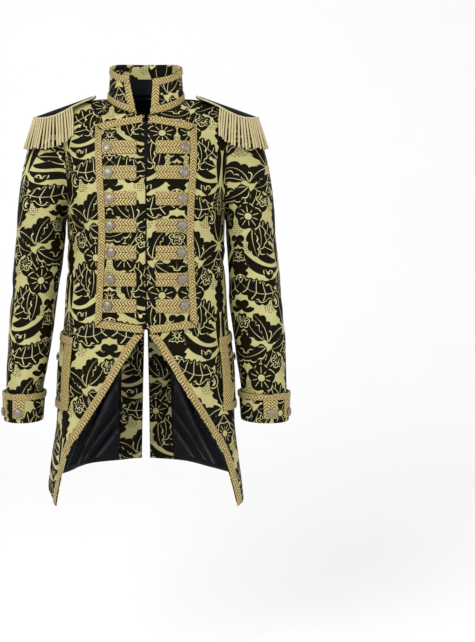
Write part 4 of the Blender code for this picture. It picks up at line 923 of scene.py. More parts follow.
def grain(points, start_row, x0):
    """Flat cloth coordinates in mm: across along the rows, and up from the row where they part."""
    steps = np.linalg.norm(np.diff(points, axis=1), axis=2)
    across = np.concatenate([np.zeros((len(points), 1)), np.cumsum(steps, axis=1)], axis=1)
    across = across + np.asarray(x0)[:, None]
    up = points[..., 2].copy()
    rise = np.linalg.norm(np.diff(points[start_row:], axis=0), axis=2)
    up[start_row + 1:] = up[start_row] + np.cumsum(rise, axis=0)
    across[start_row + 1:] = across[start_row]
    return across * 1000, up * 1000


def damask_values(across, up, shift):
    """Corner values of brocade: the damask's fields and a map of the weave in metres."""
    found = damask(across - shift[0], up - shift[1])
    found["weave"] = vectors(across / 1000, up / 1000)
    return found


DAMASK_SHIFT = {
    "front_right": (190, 60), "front_left": (178, -20), "back_right": (100, 30),
    "back_left": (100, 30), "sleeve_right": (62, 10), "sleeve_left": (70, 150),
    "cuff_right": (20, 90), "cuff_left": (30, 20), "collar": (205, -10),
    "pocket_flap_right": (190, 60), "pocket_flap_left": (178, -20),
    "vent_facing_right": (72, 210), "vent_facing_left": (96, 40),
}
FRONT_GRID = (97, np.concatenate([np.linspace(0.0, V_YOKE, 271), np.linspace(V_YOKE, 1.0, 76)[1:]]))
BACK_GRID = (92, np.concatenate([np.linspace(0.0, V_YOKE, 257), np.linspace(V_YOKE, 1.0, 72)[1:]]))
SLEEVE_HEAD_ROW = 151    # row of the sleeve where its head begins
SLEEVE_GRID = (112, np.concatenate([np.linspace(1.0, Q_HEAD, 152), np.linspace(Q_HEAD, 0.0, 88)[1:]]))
LIP = 0.0004             # how far a cloth's edge is rounded down


def rounded(points, n, closed=False):
    """The grid with its edge rows and columns let down a little."""
    points = points.copy()
    for k in (0, -1):
        points[k] -= n[k] * LIP
        if not closed:
            points[1:-1, k] -= n[1:-1, k] * LIP
    return points


def body_panel(kind, side, sign):
    surface, edge, grid = {
        "front": (front_surface, FRONT_EDGE, FRONT_GRID), "back": (back_surface, VENT, BACK_GRID),
    }[kind]
    u, v = np.linspace(0.0, 1.0, grid[0]), grid[1]
    points, n = layer(partial(surface, side), u[None, :], v[:, None], sign)
    start_row = int(np.argmin(np.abs(v - V_YOKE)))
    x0 = read(edge, "x", points[:, 0, 2])
    values = damask_values(*grain(points, start_row, x0), DAMASK_SHIFT[f"{kind}_{side}"])
    build = Build()
    build.sheet(rounded(points, n), points - n * CLOTH, values)
    return build


def tube(surface, sign, columns, rows, start_row, name):
    """A closed brocade tube whose first parameter goes round."""
    p = np.arange(columns) / columns
    inside = surface(p[None, :], rows[:, None]).mean(axis=1, keepdims=True)
    points, n = layer(surface, p[None, :], rows[:, None], sign, inside, True)
    wide = np.concatenate([points, points[:, :1]], axis=1)
    steps = np.linalg.norm(np.diff(wide, axis=1), axis=2)
    x0 = -np.sum(steps[:, : columns // 4], axis=1)
    values = damask_values(*grain(wide, start_row, x0), DAMASK_SHIFT[name])
    build = Build()
    build.sheet(rounded(points, n, True), points - n * CLOTH, values, closed=True)
    return build, points


def collar_outer(share, h, inset=0.0):
    """Outer face of the collar, from its left end round the back to its right end."""
    start, end = COLLAR_OPENING["left"], COLLAR_OPENING["right"]
    radius = between((NECK_HALF_WIDTH, COLLAR_TOP_HALF_WIDTH), h)
    first = np.arcsin((between(start, h) + inset) / radius)
    last = 2 * math.pi - np.arcsin((between(end, h) + inset) / radius)
    return collar_surface(between((first, last), share), h)


COLLAR_INSIDE = np.array([0.0, 0.0, 0.02])
COLLAR_GRID = (29, 170)
COLLAR_FACED = 0.55      # share of the collar's height above which its inside is brocade


def collar_build():
    share, h = np.linspace(0.0, 1.0, COLLAR_GRID[1]), np.linspace(0.0, 1.0, COLLAR_GRID[0])
    points, n = layer(collar_outer, share[None, :], h[:, None], 1.0, COLLAR_INSIDE)
    values = damask_values(*grain(points, 0, np.zeros(len(points))), DAMASK_SHIFT["collar"])
    build = Build()
    faced = int(COLLAR_FACED * COLLAR_GRID[0])
    build.sheet(rounded(points, n), points - n * CLOTH, values, step=(4, 2), faced=faced)
    return build


# ---------------------------------------------------------------- braid

BRAID_COLUMNS = 10
BRAID_STEP = 0.0015
PLAIT = 0.0068           # length of one chevron
PLAIT_DEPTH = 0.0011
BRAID_EDGE = 0.0009      # height of the braid's edge
MITRE_EASE = 0.035       # length over which the plait turns into a slanted end


def braid_height(s, t, width):
    """Height of a plaited braid above the cloth."""
    w = np.abs(t - 0.5) * 2
    phase = s / PLAIT + 0.5 * w * width / PLAIT
    ridge = np.abs(np.sin(math.pi * phase)) ** 0.6
    crown = np.sqrt(np.clip(1 - (w * 0.94) ** 4, 0.0, 1.0))
    return BRAID_EDGE + (BRAID - BRAID_EDGE) * crown - PLAIT_DEPTH * (1 - ridge) * crown


def braid_rows(length):
    return max(int(round(length / BRAID_STEP)), 2) + 1


def braid_grid(length):
    """Distances along a braid, as a column, and shares across it, as a row."""
    along = np.linspace(0.0, length, braid_rows(length))
    return along[:, None], np.linspace(0.0, 1.0, BRAID_COLUMNS)[None, :]


def add_braid(build, points, n, lift, s, width):
    """One braid on a grid of points whose columns go across it."""
    t = np.linspace(0.0, 1.0, points.shape[1])[None, :]
    high = braid_height(s, t, width)
    high[[0, -1]] = BRAID_EDGE
    outer = points + n * (lift + high)[..., None]
    values = {"weave": vectors(s, (t - 0.5) * width)}
    build.sheet(outer, points + n * lift, values, step=(6, points.shape[1] - 1))


def mitred(s, t, length, starts, ends):
    """Places along a braid whose ends are cut on a slant: by starts and ends at t = 0 and 1."""
    first, final = between(starts, t), between(ends, t)
    fades = (np.clip(1 - distance / MITRE_EASE, 0, 1) for distance in (s, length - s))
    return s + first * next(fades) - final * next(fades)


def front_braid(build, tree, sign, start, end, width, cuts=((0, 0), (0, 0))):
    """A straight braid on the front, between the middles of its two ends given as x and z."""
    start, end = np.array(start), np.array(end)
    length = float(np.linalg.norm(end - start))
    run = (end - start) / length
    side = np.array([-run[1], run[0]])
    s, t = braid_grid(length)
    s = mitred(s, t, length, *cuts)
    place = start + run * s[..., None] + side * ((t - 0.5) * width)[..., None]
    points, n = cast_grid(tree, place[..., 0] * sign, place[..., 1])
    add_braid(build, points, n, BIB_LIFT, s, width)


def front_bar(build, tree, sign, low, high, cut):
    """The upright braid of the front frame, between two column lines of the panel."""
    length = high - low
    s, t = braid_grid(length)
    s = mitred(s, t, length, (0.0, cut[0]), (0.0, cut[1]))
    z = low + s
    points, n = cast_grid(tree, (read(BIB_OUTER, "x", z) - BIB_BAR * (1 - t)) * sign, z)
    add_braid(build, points, n, BIB_LIFT, s, BRAID_WIDTH)


def bib_build(sign, tree):
    build = Build()
    for z in FROGS["z"]:
        for k in (-1, 1):
            middle = z + k * FROG_HEIGHT / 4
            end = float(read(BIB_OUTER, "x", middle)) - BIB_BAR - BIB_BRIDGE / 2
            front_braid(build, tree, sign, (FROG_START, middle), (end, middle), FROG_HEIGHT / 2 - LIFT)
    corner, low_corner = (float(read(BIB_OUTER, "x", z[1])) for z in (BIB_TOP_Z, BIB_BOTTOM_Z))
    w = BRAID_WIDTH
    for z, end, cut in ((BIB_TOP_Z, corner, (w, 0)), (BIB_BOTTOM_Z, low_corner, (0, w))):
        front_braid(build, tree, sign, (BIB_FRONT_X, z[0]), (end, z[1]), w, ((0, 0), cut))
    front_bar(
        build, tree, sign, BIB_BOTTOM_Z[1] + w / 2 + LIFT, BIB_TOP_Z[1] - w / 2 - LIFT, (-w, -w),
    )
    return build


def edge_braid_build(side, sign, surface, ends, tree, length):
    build = Build()
    v = np.linspace(*ends, braid_rows(length))
    reach = np.linspace(0.0, EDGE_REACH, 41)
    wanted = EDGE_INSET + BRAID_WIDTH * np.linspace(0.0, 1.0, BRAID_COLUMNS)
    strip, edges = [], []
    for level in v:
        across = surface(side, reach, np.full_like(reach, level))
        edge = surface(side, np.zeros(2), np.clip([level - 0.01, level + 0.01], v[0], v[-1]))
        run = edge[1] - edge[0]
        run /= np.linalg.norm(run)
        away = across - across[0]
        square = np.linalg.norm(away - np.outer(away @ run, run), axis=1)
        u = np.interp(wanted, square, reach)
        strip.append(surface(side, u, np.full_like(u, level)))
        edges.append(across[0])
    s = run_length(np.array(edges))[:, None]
    points, n = settle(tree, np.array(strip) * mirror(sign))
    add_braid(build, points, n, EDGE_LIFT, s + 0 * wanted, BRAID_WIDTH)
    return build


def band(build, place, first, second, length, lift, width, level=True):
    """A braid on a surface, over a range of its first parameter and a range of its second.

    place gives points and normals for the two. The braid runs along the first where it is
    level, and otherwise along the second.
    """
    s, t = braid_grid(length)
    a = between(first, s / length if level else t)
    b = between(second, t if level else s / length)
    points, n = place(*np.broadcast_arrays(a, b))
    add_braid(build, points, n, lift, s + 0 * t, width)


# ---------------------------------------------------------------- pockets, cuffs, collar trims

def flap_place(side, sign, tree):
    """Points and normals on the cloth under the flap, by shares of its length and height."""
    def place(a, h):
        angle = np.radians(between(FLAP_ANGLES, a))
        z = between((between(FLAP_BOTTOM_Z, a), between(FLAP_TOP_Z, a)), h)
        points, n = layer(partial(torso, side), angle, z, sign)
        points, _ = settle(tree, points)
        return points, n
    return place


def pocket_builds(side, sign, tree):
    place = flap_place(side, sign, tree)
    a, h = (np.linspace(0.0, 1.0, count) for count in FLAP_GRID)
    points, n = place(*np.broadcast_arrays(a[None, :], h[:, None]))
    flap = Build()
    across, _ = grain(points, len(points) - 1, np.full(len(points), FLAP_FROM_FRONT))
    values = damask_values(across, points[..., 2] * 1000, DAMASK_SHIFT[f"pocket_flap_{side}"])
    over, under = points + n * (FLAP_LIFT + FLAP_CLOTH), points + n * FLAP_LIFT
    flap.sheet(rounded(over, n), under, values)
    trim = Build()
    top = FLAP_LIFT + FLAP_CLOTH + SEAM
    long = float(run_length(points[0])[-1])
    high = FLAP_TOP_Z[0] - FLAP_BOTTOM_Z[0]
    one = 1 / (FLAP_COLUMNS - 1)
    rim = BRAID_WIDTH / high
    gap = SEAM / high
    uprights = [(one * k, one * (k + FLAP_STRAND)) for k in range(FLAP_DOUBLE)] + [(1 - one, 1.0)]
    for ends in uprights:
        band(trim, place, ends, (rim + gap, 1 - rim - gap), high - 2 * BRAID_WIDTH, top, one * long, False)
    for low in (0.0, 1 - rim):
        band(trim, place, (0.0, 1.0), (low, low + rim), long, top, BRAID_WIDTH)
    return flap, trim


def cuff_builds(side, sign):
    surface = partial(cuff_surface, side)
    columns, rows = CUFF_GRID
    cuff, points = tube(surface, sign, columns, np.linspace(0.0, 1.0, rows), rows - 1, f"cuff_{side}")
    middle = surface(np.arange(32)[None, :] / 32, np.full((1, 32), 0.5)).mean(axis=1)[0]
    trim = Build()
    height = CUFF_TOP - CUFF_BOTTOM
    low = (CUFF_STRIP_Z - CUFF_BOTTOM) / height
    round_length = float(run_length(points[CUFF_MEASURED])[-1])

    def place(p, h):
        centre = surface(p, h) * 0 + middle
        centre[..., 2] = surface(p, h)[..., 2]
        return layer(surface, p, h, sign, centre, True)

    first, second = CUFF_BRAID_LEVELS
    band(trim, place, (0.0, 0.9995), (first, second), round_length, LIFT, BRAID_WIDTH)
    wide = 2 * CUFF_STRIP_HALF * round_length
    for strip in CUFF_STRIPS:
        for k in (-1, 0):
            ends = [strip + (k + m) * CUFF_STRIP_HALF + (1 - 2 * m) * STRIP_GAP for m in (0, 1)]
            band(trim, place, ends, (low, first - TRIM_GAP), (first - low) * height, LIFT, wide / 2, False)
    return cuff, trim, place


def collar_trim_build():
    trim = Build()
    end = BRAID_WIDTH / COLLAR_LENGTH

    def place(a, h):
        return layer(partial(collar_outer, inset=EDGE_INSET), a, h, 1.0, COLLAR_INSIDE)

    low, high = COLLAR_BRAID_LEVELS
    for level in (low, high):
        band(trim, place, (0.0, 1.0), level, COLLAR_LENGTH, LIFT, BRAID_WIDTH)
    for ends in ((0.0, end), (1 - end, 1.0)):
        levels = (low[1] + TRIM_GAP, high[0] - TRIM_GAP)
        band(trim, place, ends, levels, COLLAR_UPRIGHT, LIFT, BRAID_WIDTH, False)
    return trim


# ---------------------------------------------------------------- epaulettes

def board_build(height, sign):
    """Velvet board with a crown and a rolled edge."""
    along, half = board_outline()
    turn = np.linspace(0.0, 1.0, BOARD_GRID[0])
    a = along[0] + (along[-1] - along[0]) * (1 - np.cos(math.pi * turn)) / 2
    round_half = np.sqrt(np.clip(BOARD_ROUND_RADIUS**2 - (a - BOARD_ROUND_CENTRE) ** 2, 0.0, None))
    strap = np.interp(a, BOARD_STRAP["along"], BOARD_STRAP["half_width"])
    wide = np.where(a > along[len(BOARD_STRAP["along"])], round_half, np.interp(a, along, half))
    wide = np.where(a < BOARD_STRAP["along"][-1], strap, wide)
    wide = np.maximum(np.minimum(wide, np.interp(a, along, half) + BOARD_FULLER), BOARD_LEAST)
    t = np.sin(math.pi / 2 * np.linspace(-1.0, 1.0, BOARD_GRID[1]))[None, :]
    x = np.repeat((BOARD_START + a)[:, None], t.shape[1], axis=1)
    y = BOARD_MIDDLE_Y + wide[:, None] * t
    under = vectors(x, y, height(x, y))
    inner = np.minimum(1 - np.abs(t), np.minimum(a - a[0], a[-1] - a)[:, None] / BOARD_ROLLS[1])
    roll = np.sqrt(np.clip(1 - (1 - np.clip(inner * BOARD_ROLLS[0], 0.0, 1.0)) ** 2, 0.0, 1.0))
    thick = BOARD_THICKNESS * between((BOARD_RIM, 1.0), roll)
    over = under + np.array([0.0, 0.0, 1.0]) * thick[..., None]
    build = Build()
    build.sheet(over * mirror(sign), under * mirror(sign), {"weave": vectors(x, y)}, faced=0)
    return build


CORD_ROUND = 0.01        # way round a cord on its map of threads
CORD_WAIST = 0.72        # radius between its two plies, as a share


def add_twisted(build, path, radius, pitch, around, closed=False, phase=0.0):
    """A two-ply twisted cord along an evenly spaced path."""
    if closed:
        run = np.roll(path, -1, axis=0) - np.roll(path, 1, axis=0)
    else:
        run = np.gradient(path, axis=0)
    run /= np.linalg.norm(run, axis=1, keepdims=True)
    up = np.array([0.0, 0.0, 1.0]) if closed else np.array([0.0, 1.0, 0.0])
    first = np.cross(run, up)
    first /= np.linalg.norm(first, axis=1, keepdims=True)
    second = np.cross(run, first)
    length = run_length(path)
    if closed:
        whole = length[-1] + np.linalg.norm(path[0] - path[-1])
        pitch = whole / round(whole / pitch)
    spin = 2 * math.pi * length / pitch + phase
    angle = 2 * math.pi * np.arange(around) / around
    lobes = between((CORD_WAIST, 1.0), np.abs(np.cos(angle[None, :] - spin[:, None])) ** 0.8)
    reach = radius * lobes
    if not closed:
        taper = np.clip(np.minimum(length, length[-1] - length) / (radius * 1.2), 0.0, 1.0)
        reach = reach * np.sqrt(1 - (1 - taper) ** 2 * 0.9)[:, None]
    points = path[:, None, :] + reach[..., None] * (
        first[:, None, :] * np.cos(angle)[None, :, None] + second[:, None, :] * np.sin(angle)[None, :, None]
    )
    # The plies' radius is kept on the mesh to paint shade into the grooves between them.
    groove = np.concatenate([lobes, lobes[:, :1]], axis=1)
    weave = vectors(length[:, None], np.arange(around + 1) / around * CORD_ROUND)
    build.rings(points, {"groove": groove, "weave": weave}, closed, flip=True)


def even(points, spacing, closed=False):
    """A path resampled at even steps."""
    fine = np.concatenate([points, points[:1]]) if closed else points
    length = run_length(fine)
    count = max(int(length[-1] / spacing), 4)
    share = np.linspace(0.0, length[-1], count, endpoint=not closed)
    return np.stack([np.interp(share, length, fine[:, k]) for k in range(3)], axis=1)


SMOOTHINGS = 24


def smooth_path(points, spacing):
    """A path through a few points, rounded by averaging, at even steps."""
    fine = even(points, spacing / 2)
    for _ in range(SMOOTHINGS):
        fine[1:-1] = (fine[:-2] + fine[2:] + 2 * fine[1:-1]) / 4
    return even(fine, spacing)


FRINGE_SEED = 11
STRAND_RADIUS = 0.0025
STRAND_PITCH = 0.0080
STRAND_EVERY = 1.35      # steps of the rim from strand to strand
STRAND_LEANS = (0.22, 0.34)      # outward for each unit of fall
STRAND_SHARES = (0.88, 1.0)      # of the full length
STRAND_ROOT = 0.4        # how deep a strand's end sits in the cord, as a share of its radius
STRAND_STEP = 0.00095
STRAND_SIDES = 10
CORD_RADIUS = CORD / 2 * 1.08
CORD_PITCH = 0.0100
CORD_STEP = 0.0011
CORD_SIDES = 14


def fringe_build(sign, tree, height):
    rim, outward = board_rim()
    half = CORD / 2
    out = vectors(outward[:, 0], outward[:, 1], 0.0)
    z = height(rim[:, 0] - outward[:, 0] * half, rim[:, 1] - outward[:, 1] * half)
    centre = vectors(rim[:, 0], rim[:, 1], z + CORD_RISE)
    for k, spot in enumerate(centre):
        top = top_at(tree, spot[0] * sign, spot[1])
        if top is not None:
            centre[k, 2] = max(centre[k, 2], top + half + LIFT)
    build = Build()
    cord = even(centre, CORD_STEP, True) * mirror(sign)
    add_twisted(build, cord, CORD_RADIUS, CORD_PITCH, CORD_SIDES, True)
    rng = np.random.default_rng(FRINGE_SEED)
    up = np.array([0.0, 0.0, 1.0])
    beside = np.flatnonzero(rim[:, 0] > BOARD_START + FRINGE_START)
    for place in np.arange(beside[0] + 1, beside[-1], STRAND_EVERY):
        k, share = int(place), place % 1.0
        middle = centre[k] * (1 - share) + centre[k + 1] * share - up * half * STRAND_ROOT
        path = [middle]
        fall = -up + out[k] * rng.uniform(*STRAND_LEANS)
        spot = Vector(middle * mirror(sign))
        length = STRAND_LENGTH * rng.uniform(*STRAND_SHARES)
        for _ in range(STRAND_WALK):
            spot = spot + Vector(fall * mirror(sign)) * (length / STRAND_WALK)
            near, normal, _, _ = tree.find_nearest(spot)
            gap = (spot - near).dot(normal)
            if gap < STRAND_CLEAR:
                spot = spot + normal * (STRAND_CLEAR - gap)
            path.append(np.array(spot) * mirror(sign))
        path = smooth_path(np.array(path), STRAND_STEP) * mirror(sign)
        add_twisted(build, path, STRAND_RADIUS, STRAND_PITCH, STRAND_SIDES, False, rng.uniform(0.0, 6.0))
    return build


# ---------------------------------------------------------------- buttons, underlap, linings

# Rings of a button: share of its radius, height, and 0 for plain, 1 for petals, 2 for rope.
BUTTON_PROFILE = (
    (0.0, 0.0003, 0), (0.30, 0.0003, 0), (0.30, BUTTON_SHANK_TOP, 0), (0.90, 0.0018, 0),
    (0.985, 0.0021, 0), (1.0, 0.0026, 2), (0.975, 0.0032, 2), (0.93, 0.0034, 2),
    (0.88, 0.0031, 0), (0.80, 0.0036, 0), (0.70, 0.0042, 1), (0.58, 0.0046, 1), (0.45, 0.0049, 1),
    (0.32, 0.0051, 1), (0.22, 0.0050, 0), (0.16, 0.0053, 0), (0.08, 0.0055, 0), (0.01, 0.0055, 0),
)
BUTTON_AROUND = 40
PETAL_RELIEF, ROPE_RELIEF = 0.00022, 0.00016
RELIEF_SCALE = 2000      # turns the relief's height into the value that darkens the metal's hollows with patina


def button_build(seat, normal, kind):
    """A domed button with a rope rim and soft petals, on a shank."""
    turned = np.array(Vector(normal).to_track_quat("Z", "Y").to_matrix())
    angle = 2 * math.pi * np.arange(BUTTON_AROUND) / BUTTON_AROUND
    reliefs = (
        np.zeros(BUTTON_AROUND), PETAL_RELIEF * (np.abs(np.cos(4 * angle)) ** 0.7 - 0.5),
        ROPE_RELIEF * np.cos(20 * angle),
    )
    points = []
    for share, height, ornament in BUTTON_PROFILE:
        r = BUTTON_RADIUS[kind] * share
        local = vectors(r * np.cos(angle), r * np.sin(angle), height + reliefs[ornament])
        points.append(local @ turned.T + seat)
    groove = np.array([reliefs[row[2]] for row in BUTTON_PROFILE]) * RELIEF_SCALE
    build = Build()
    build.rings(np.array(points), {"groove": groove})
    return build


def underlap_build(tree):
    xs = np.linspace(-1.0, 1.0, UNDERLAP_GRID[0]) * UNDERLAP_HALF_WIDTH
    zs = np.linspace(*UNDERLAP_Z, UNDERLAP_GRID[1])
    clear = np.maximum(np.abs(xs), BIB_FRONT_X) * np.sign(xs + 1e-9)
    points, n = cast_grid(tree, *np.broadcast_arrays(clear[None, :], zs[:, None]))
    points[..., 0] = xs[None, :]
    points[..., 1] = points[..., 1].max(axis=1, keepdims=True)
    n = np.array([0.0, -1.0, 0.0])
    build = Build()
    values = {"weave": vectors(points[..., 0], points[..., 2])}
    build.sheet(points + n * INSIDE, points + n * (INSIDE - SATIN), values, faced=0)
    return build


# Folds of the lining: place across at a height, how it leans, half width, depth.
LINING_FOLDS = table(
    "across v lean spread depth",
    (0.21, 0.42, -1.2, 0.030, 0.0050), (0.25, 0.30, -1.4, 0.036, 0.0070),
    (0.24, 0.19, -1.6, 0.028, 0.0050), (0.26, 0.10, -1.5, 0.034, 0.0060),
    (0.46, 0.13, -1.2, 0.040, 0.0070), (0.60, 0.17, -1.0, 0.036, 0.0060),
    (0.82, 0.07, -0.8, 0.040, 0.0055),
)


LINING_PARTS = (                 # starts across and up, end up, rows: the skirt, and the body above
    (0.172, 0.028, LINING_JOIN_V, 170), (0.0, LINING_JOIN_V, 1.0, 150),
)
LINING_COLUMNS = 64
LINING_WIDTH = 0.3       # of a back, for the map of its weave
FOLD_FADE = 20           # the folds end within 1/20 of the width from its sides
SHOULDER_PULL, SIDE_PULL = -0.003, 0.0015
FACING_GRID = (15, 150)
FACING_REACH = 0.165     # share of the back's width
FACING_PULLS = (0.002, 0.0006, 0.0006, 0.0006)


def pulled_in(grid, distances):
    """The grid shrunk at its edges by distances in metres: first row, last row, first, last column."""
    grid = grid.copy()
    for distance, edge, neighbour, axis in zip(distances, (0, -1, 0, -1), (4, -5, 2, -3), (0, 0, 1, 1)):
        if not distance:
            continue
        take, away = [slice(None)] * 2, [slice(None)] * 2
        take[axis], away[axis] = edge, neighbour
        gap = grid[tuple(away)] - grid[tuple(take)]
        size = np.linalg.norm(gap, axis=-1, keepdims=True)
        shift = gap / size * distance
        for step in range(3):
            take[axis] = edge + (step if edge == 0 else -step)
            grid[tuple(take)] += shift * (1 - step / 3)
    return grid


def facing_build(side, sign):
    u, v = np.linspace(0.0, FACING_REACH, FACING_GRID[0]), np.linspace(0.0, LINING_JOIN_V, FACING_GRID[1])
    points, n = layer(partial(back_surface, side), u[None, :], v[:, None], sign)
    over = pulled_in(points + n * INSIDE, FACING_PULLS)
    across, up = grain(points, len(points) - 1, np.zeros(len(points)))
    values = damask_values(across, up, DAMASK_SHIFT[f"vent_facing_{side}"])
    build = Build()
    build.sheet(over - n * FACING, over, values, faced=0)
    return build


def lining_builds(side, sign):
    """Satin lining of a back: the skirt beside the facing, and the body above it."""
    build = Build()
    for u_start, v_start, v_end, rows in LINING_PARTS:
        u, v = np.linspace(u_start, 1.0, LINING_COLUMNS), np.linspace(v_start, v_end, rows)
        points, n = layer(partial(back_surface, side), u[None, :], v[:, None], sign)
        fold = np.zeros((rows, LINING_COLUMNS))
        fade = np.clip((LINING_JOIN_V - v) / LINING_JOIN_V, 0, 1)[:, None] ** 0.5
        for across, level, lean, spread, depth in zip(*LINING_FOLDS.values()):
            place = u[None, :] - across - lean * (v[:, None] - level)
            fold += depth * np.exp(-((place / spread) ** 2)) * fade
        edge = np.minimum(np.minimum(u - u[0], u[-1] - u)[None, :] * FOLD_FADE, 1.0)
        over = points + n * (INSIDE - fold * edge)[..., None]
        over = pulled_in(over, (0.0, SHOULDER_PULL if v_end == 1.0 else 0.0, 0.0, SIDE_PULL))
        if v_end == 1.0:
            over[:, 0, 0] = 0.0
        # The folds' slope across is kept on the mesh to paint highlights on the satin where its folds would
        # catch the light.
        slope = np.gradient(fold, axis=1) / (u[1] - u[0])
        values = {"weave": vectors(u * LINING_WIDTH, points[..., 2]), "groove": slope}
        build.sheet(over - n * SATIN, over, values, faced=0)
    return build


# ---------------------------------------------------------------- materials

def srgb(red, green, blue):
    """A colour given in sRGB from 0 to 255, as linear RGBA."""
    found = []
    for part in (red, green, blue):
        share = part / 255
        found.append(share / 12.92 if share <= 0.04045 else ((share + 0.055) / 1.055) ** 2.4)
    return (*found, 1.0)


class Nodes:
    """Short ways to make and join the nodes of one material."""

    def __init__(self, name):
        self.material = bpy.data.materials.new(name)
        self.material.use_nodes = True
        self.tree = self.material.node_tree
        self.shader = self.tree.nodes["Principled BSDF"]

    def link(self, value, socket):
        if isinstance(value, bpy.types.NodeSocket):
            self.tree.links.new(value, socket)
        else:
            socket.default_value = value

    def set(self, **values):
        for name, value in values.items():
            self.link(value, self.shader.inputs[name.replace("_", " ")])

    def attribute(self, name):
        node = self.tree.nodes.new("ShaderNodeAttribute")
        node.attribute_name = name
        return node.outputs["Fac"]

    def weave(self):
        node = self.tree.nodes.new("ShaderNodeUVMap")
        node.uv_map = "weave"
        return node.outputs["UV"]

    def place(self):
        return self.tree.nodes.new("ShaderNodeTexCoord").outputs["Object"]

    def part(self, vector, axis):
        node = self.tree.nodes.new("ShaderNodeSeparateXYZ")
        self.link(vector, node.inputs[0])
        return node.outputs[axis]

    def math(self, operation, *values):
        node = self.tree.nodes.new("ShaderNodeMath")
        node.operation = operation
        for value, socket in zip(values, node.inputs):
            self.link(value, socket)
        return node.outputs[0]

    def ramp(self, value, low, high, start=0.0, end=1.0):
        node = self.tree.nodes.new("ShaderNodeMapRange")
        node.interpolation_type = "SMOOTHSTEP"
        for number, item in enumerate((value, low, high, start, end)):
            self.link(item, node.inputs[number])
        return node.outputs[0]

    def mix(self, share, first, second):
        node = self.tree.nodes.new("ShaderNodeMix")
        node.data_type = "RGBA"
        self.link(share, node.inputs["Factor"])
        self.link(first, node.inputs[6])
        self.link(second, node.inputs[7])
        return node.outputs[2]

    def noise(self, vector, scale, detail=2.0, rough=0.5):
        node = self.tree.nodes.new("ShaderNodeTexNoise")
        self.link(vector, node.inputs["Vector"])
        node.inputs["Scale"].default_value = scale
        node.inputs["Detail"].default_value = detail
        node.inputs["Roughness"].default_value = rough
        return node.outputs["Fac"]

    def bump(self, height, distance, strength=1.0, under=None):
        node = self.tree.nodes.new("ShaderNodeBump")
        node.inputs["Strength"].default_value = strength
        node.inputs["Distance"].default_value = distance
        self.link(height, node.inputs["Height"])
        if under is not None:
            self.link(under, node.inputs["Normal"])
        return node.outputs[0]

    def wave(self, value, pitch):
        """A soft ridge pattern of the given pitch, from 0 to 1."""
        turn = self.math("MULTIPLY", value, 2 * math.pi / pitch)
        return self.math("MULTIPLY_ADD", self.math("SINE", turn), 0.5, 0.5)


def brocade_material():
    m = Nodes("brocade")
    motif, edge, line, vein, seed = (m.attribute(k) for k in ("motif", "edge", "line", "vein", "seed"))
    weave = m.weave()
    u, v = m.part(weave, 0), m.part(weave, 1)
    frayed = m.math("MULTIPLY_ADD", m.noise(weave, 900.0, 1.0), 0.8, -0.4)
    dark = m.ramp(m.math("ADD", motif, frayed), -0.5, 0.4, 1.0, 0.0)
    apart = m.math("ABSOLUTE", edge)
    within = m.ramp(apart, 1.2, 2.4)
    pale = m.math("MULTIPLY", m.ramp(m.math("ABSOLUTE", line), 0.35, 0.8, 1.0, 0.0), within)
    outline = m.math("MULTIPLY", m.ramp(apart, 0.7, 1.2, 1.0, 0.0), m.ramp(motif, -3.4, -2.0, 1.0, 0.0))
    pale = m.math("MAXIMUM", pale, outline)
    rib = m.math("ABSOLUTE", m.math("SUBTRACT", m.math("FRACT", m.math("ADD", vein, 0.5)), 0.5))
    ribs = m.math("MULTIPLY", m.ramp(rib, 0.025, 0.06, 1.0, 0.0), m.ramp(apart, 2.6, 4.4))
    pale = m.math("MAXIMUM", pale, ribs)
    dots = m.tree.nodes.new("ShaderNodeTexVoronoi")
    dots.voronoi_dimensions = "2D"
    dots.inputs["Scale"].default_value = 230.0
    dots.inputs["Randomness"].default_value = 0.5
    m.link(weave, dots.inputs["Vector"])
    dot = m.math("MULTIPLY", m.ramp(dots.outputs["Distance"], 0.22, 0.34, 1.0, 0.0),
                 m.math("MULTIPLY", m.ramp(seed, -0.05, 0.05, 1.0, 0.0), m.ramp(motif, 0.6, 1.2)))
    lines = m.math("MULTIPLY", dark, pale)
    covered = m.math("SUBTRACT", 1.0, m.math("MULTIPLY", pale, 0.9))
    ink = m.math("MAXIMUM", m.math("MULTIPLY", dark, covered), dot)
    cloudy = m.noise(m.place(), 7.0, 3.0)
    ground = m.mix(m.ramp(cloudy, 0.32, 0.68), srgb(147, 139, 80), srgb(172, 165, 106))
    shot = m.math("MULTIPLY", m.wave(v, 0.0023), m.noise(weave, 420.0, 2.0))
    ground = m.mix(m.ramp(shot, 0.1, 0.75), ground, srgb(202, 195, 146))
    ground = m.mix(lines, ground, srgb(200, 192, 138))
    black = m.mix(m.noise(weave, 260.0, 2.0), srgb(9, 7, 2), srgb(21, 18, 8))
    m.set(Base_Color=m.mix(ink, ground, black))
    m.set(Roughness=m.ramp(ink, 0.0, 1.0, 0.47, 0.66))
    m.set(Specular_IOR_Level=m.math("MULTIPLY_ADD", ink, -0.21, 0.26))
    weft, warp = m.math("MULTIPLY", m.wave(v, 0.0012), 0.5), m.math("MULTIPLY", m.wave(u, 0.0009), 0.35)
    threads = m.math("ADD", weft, warp)
    relief = m.math("ADD", m.math("MULTIPLY", ink, 1.4), threads)
    m.set(Normal=m.bump(relief, 0.0002, 0.7))
    return m.material


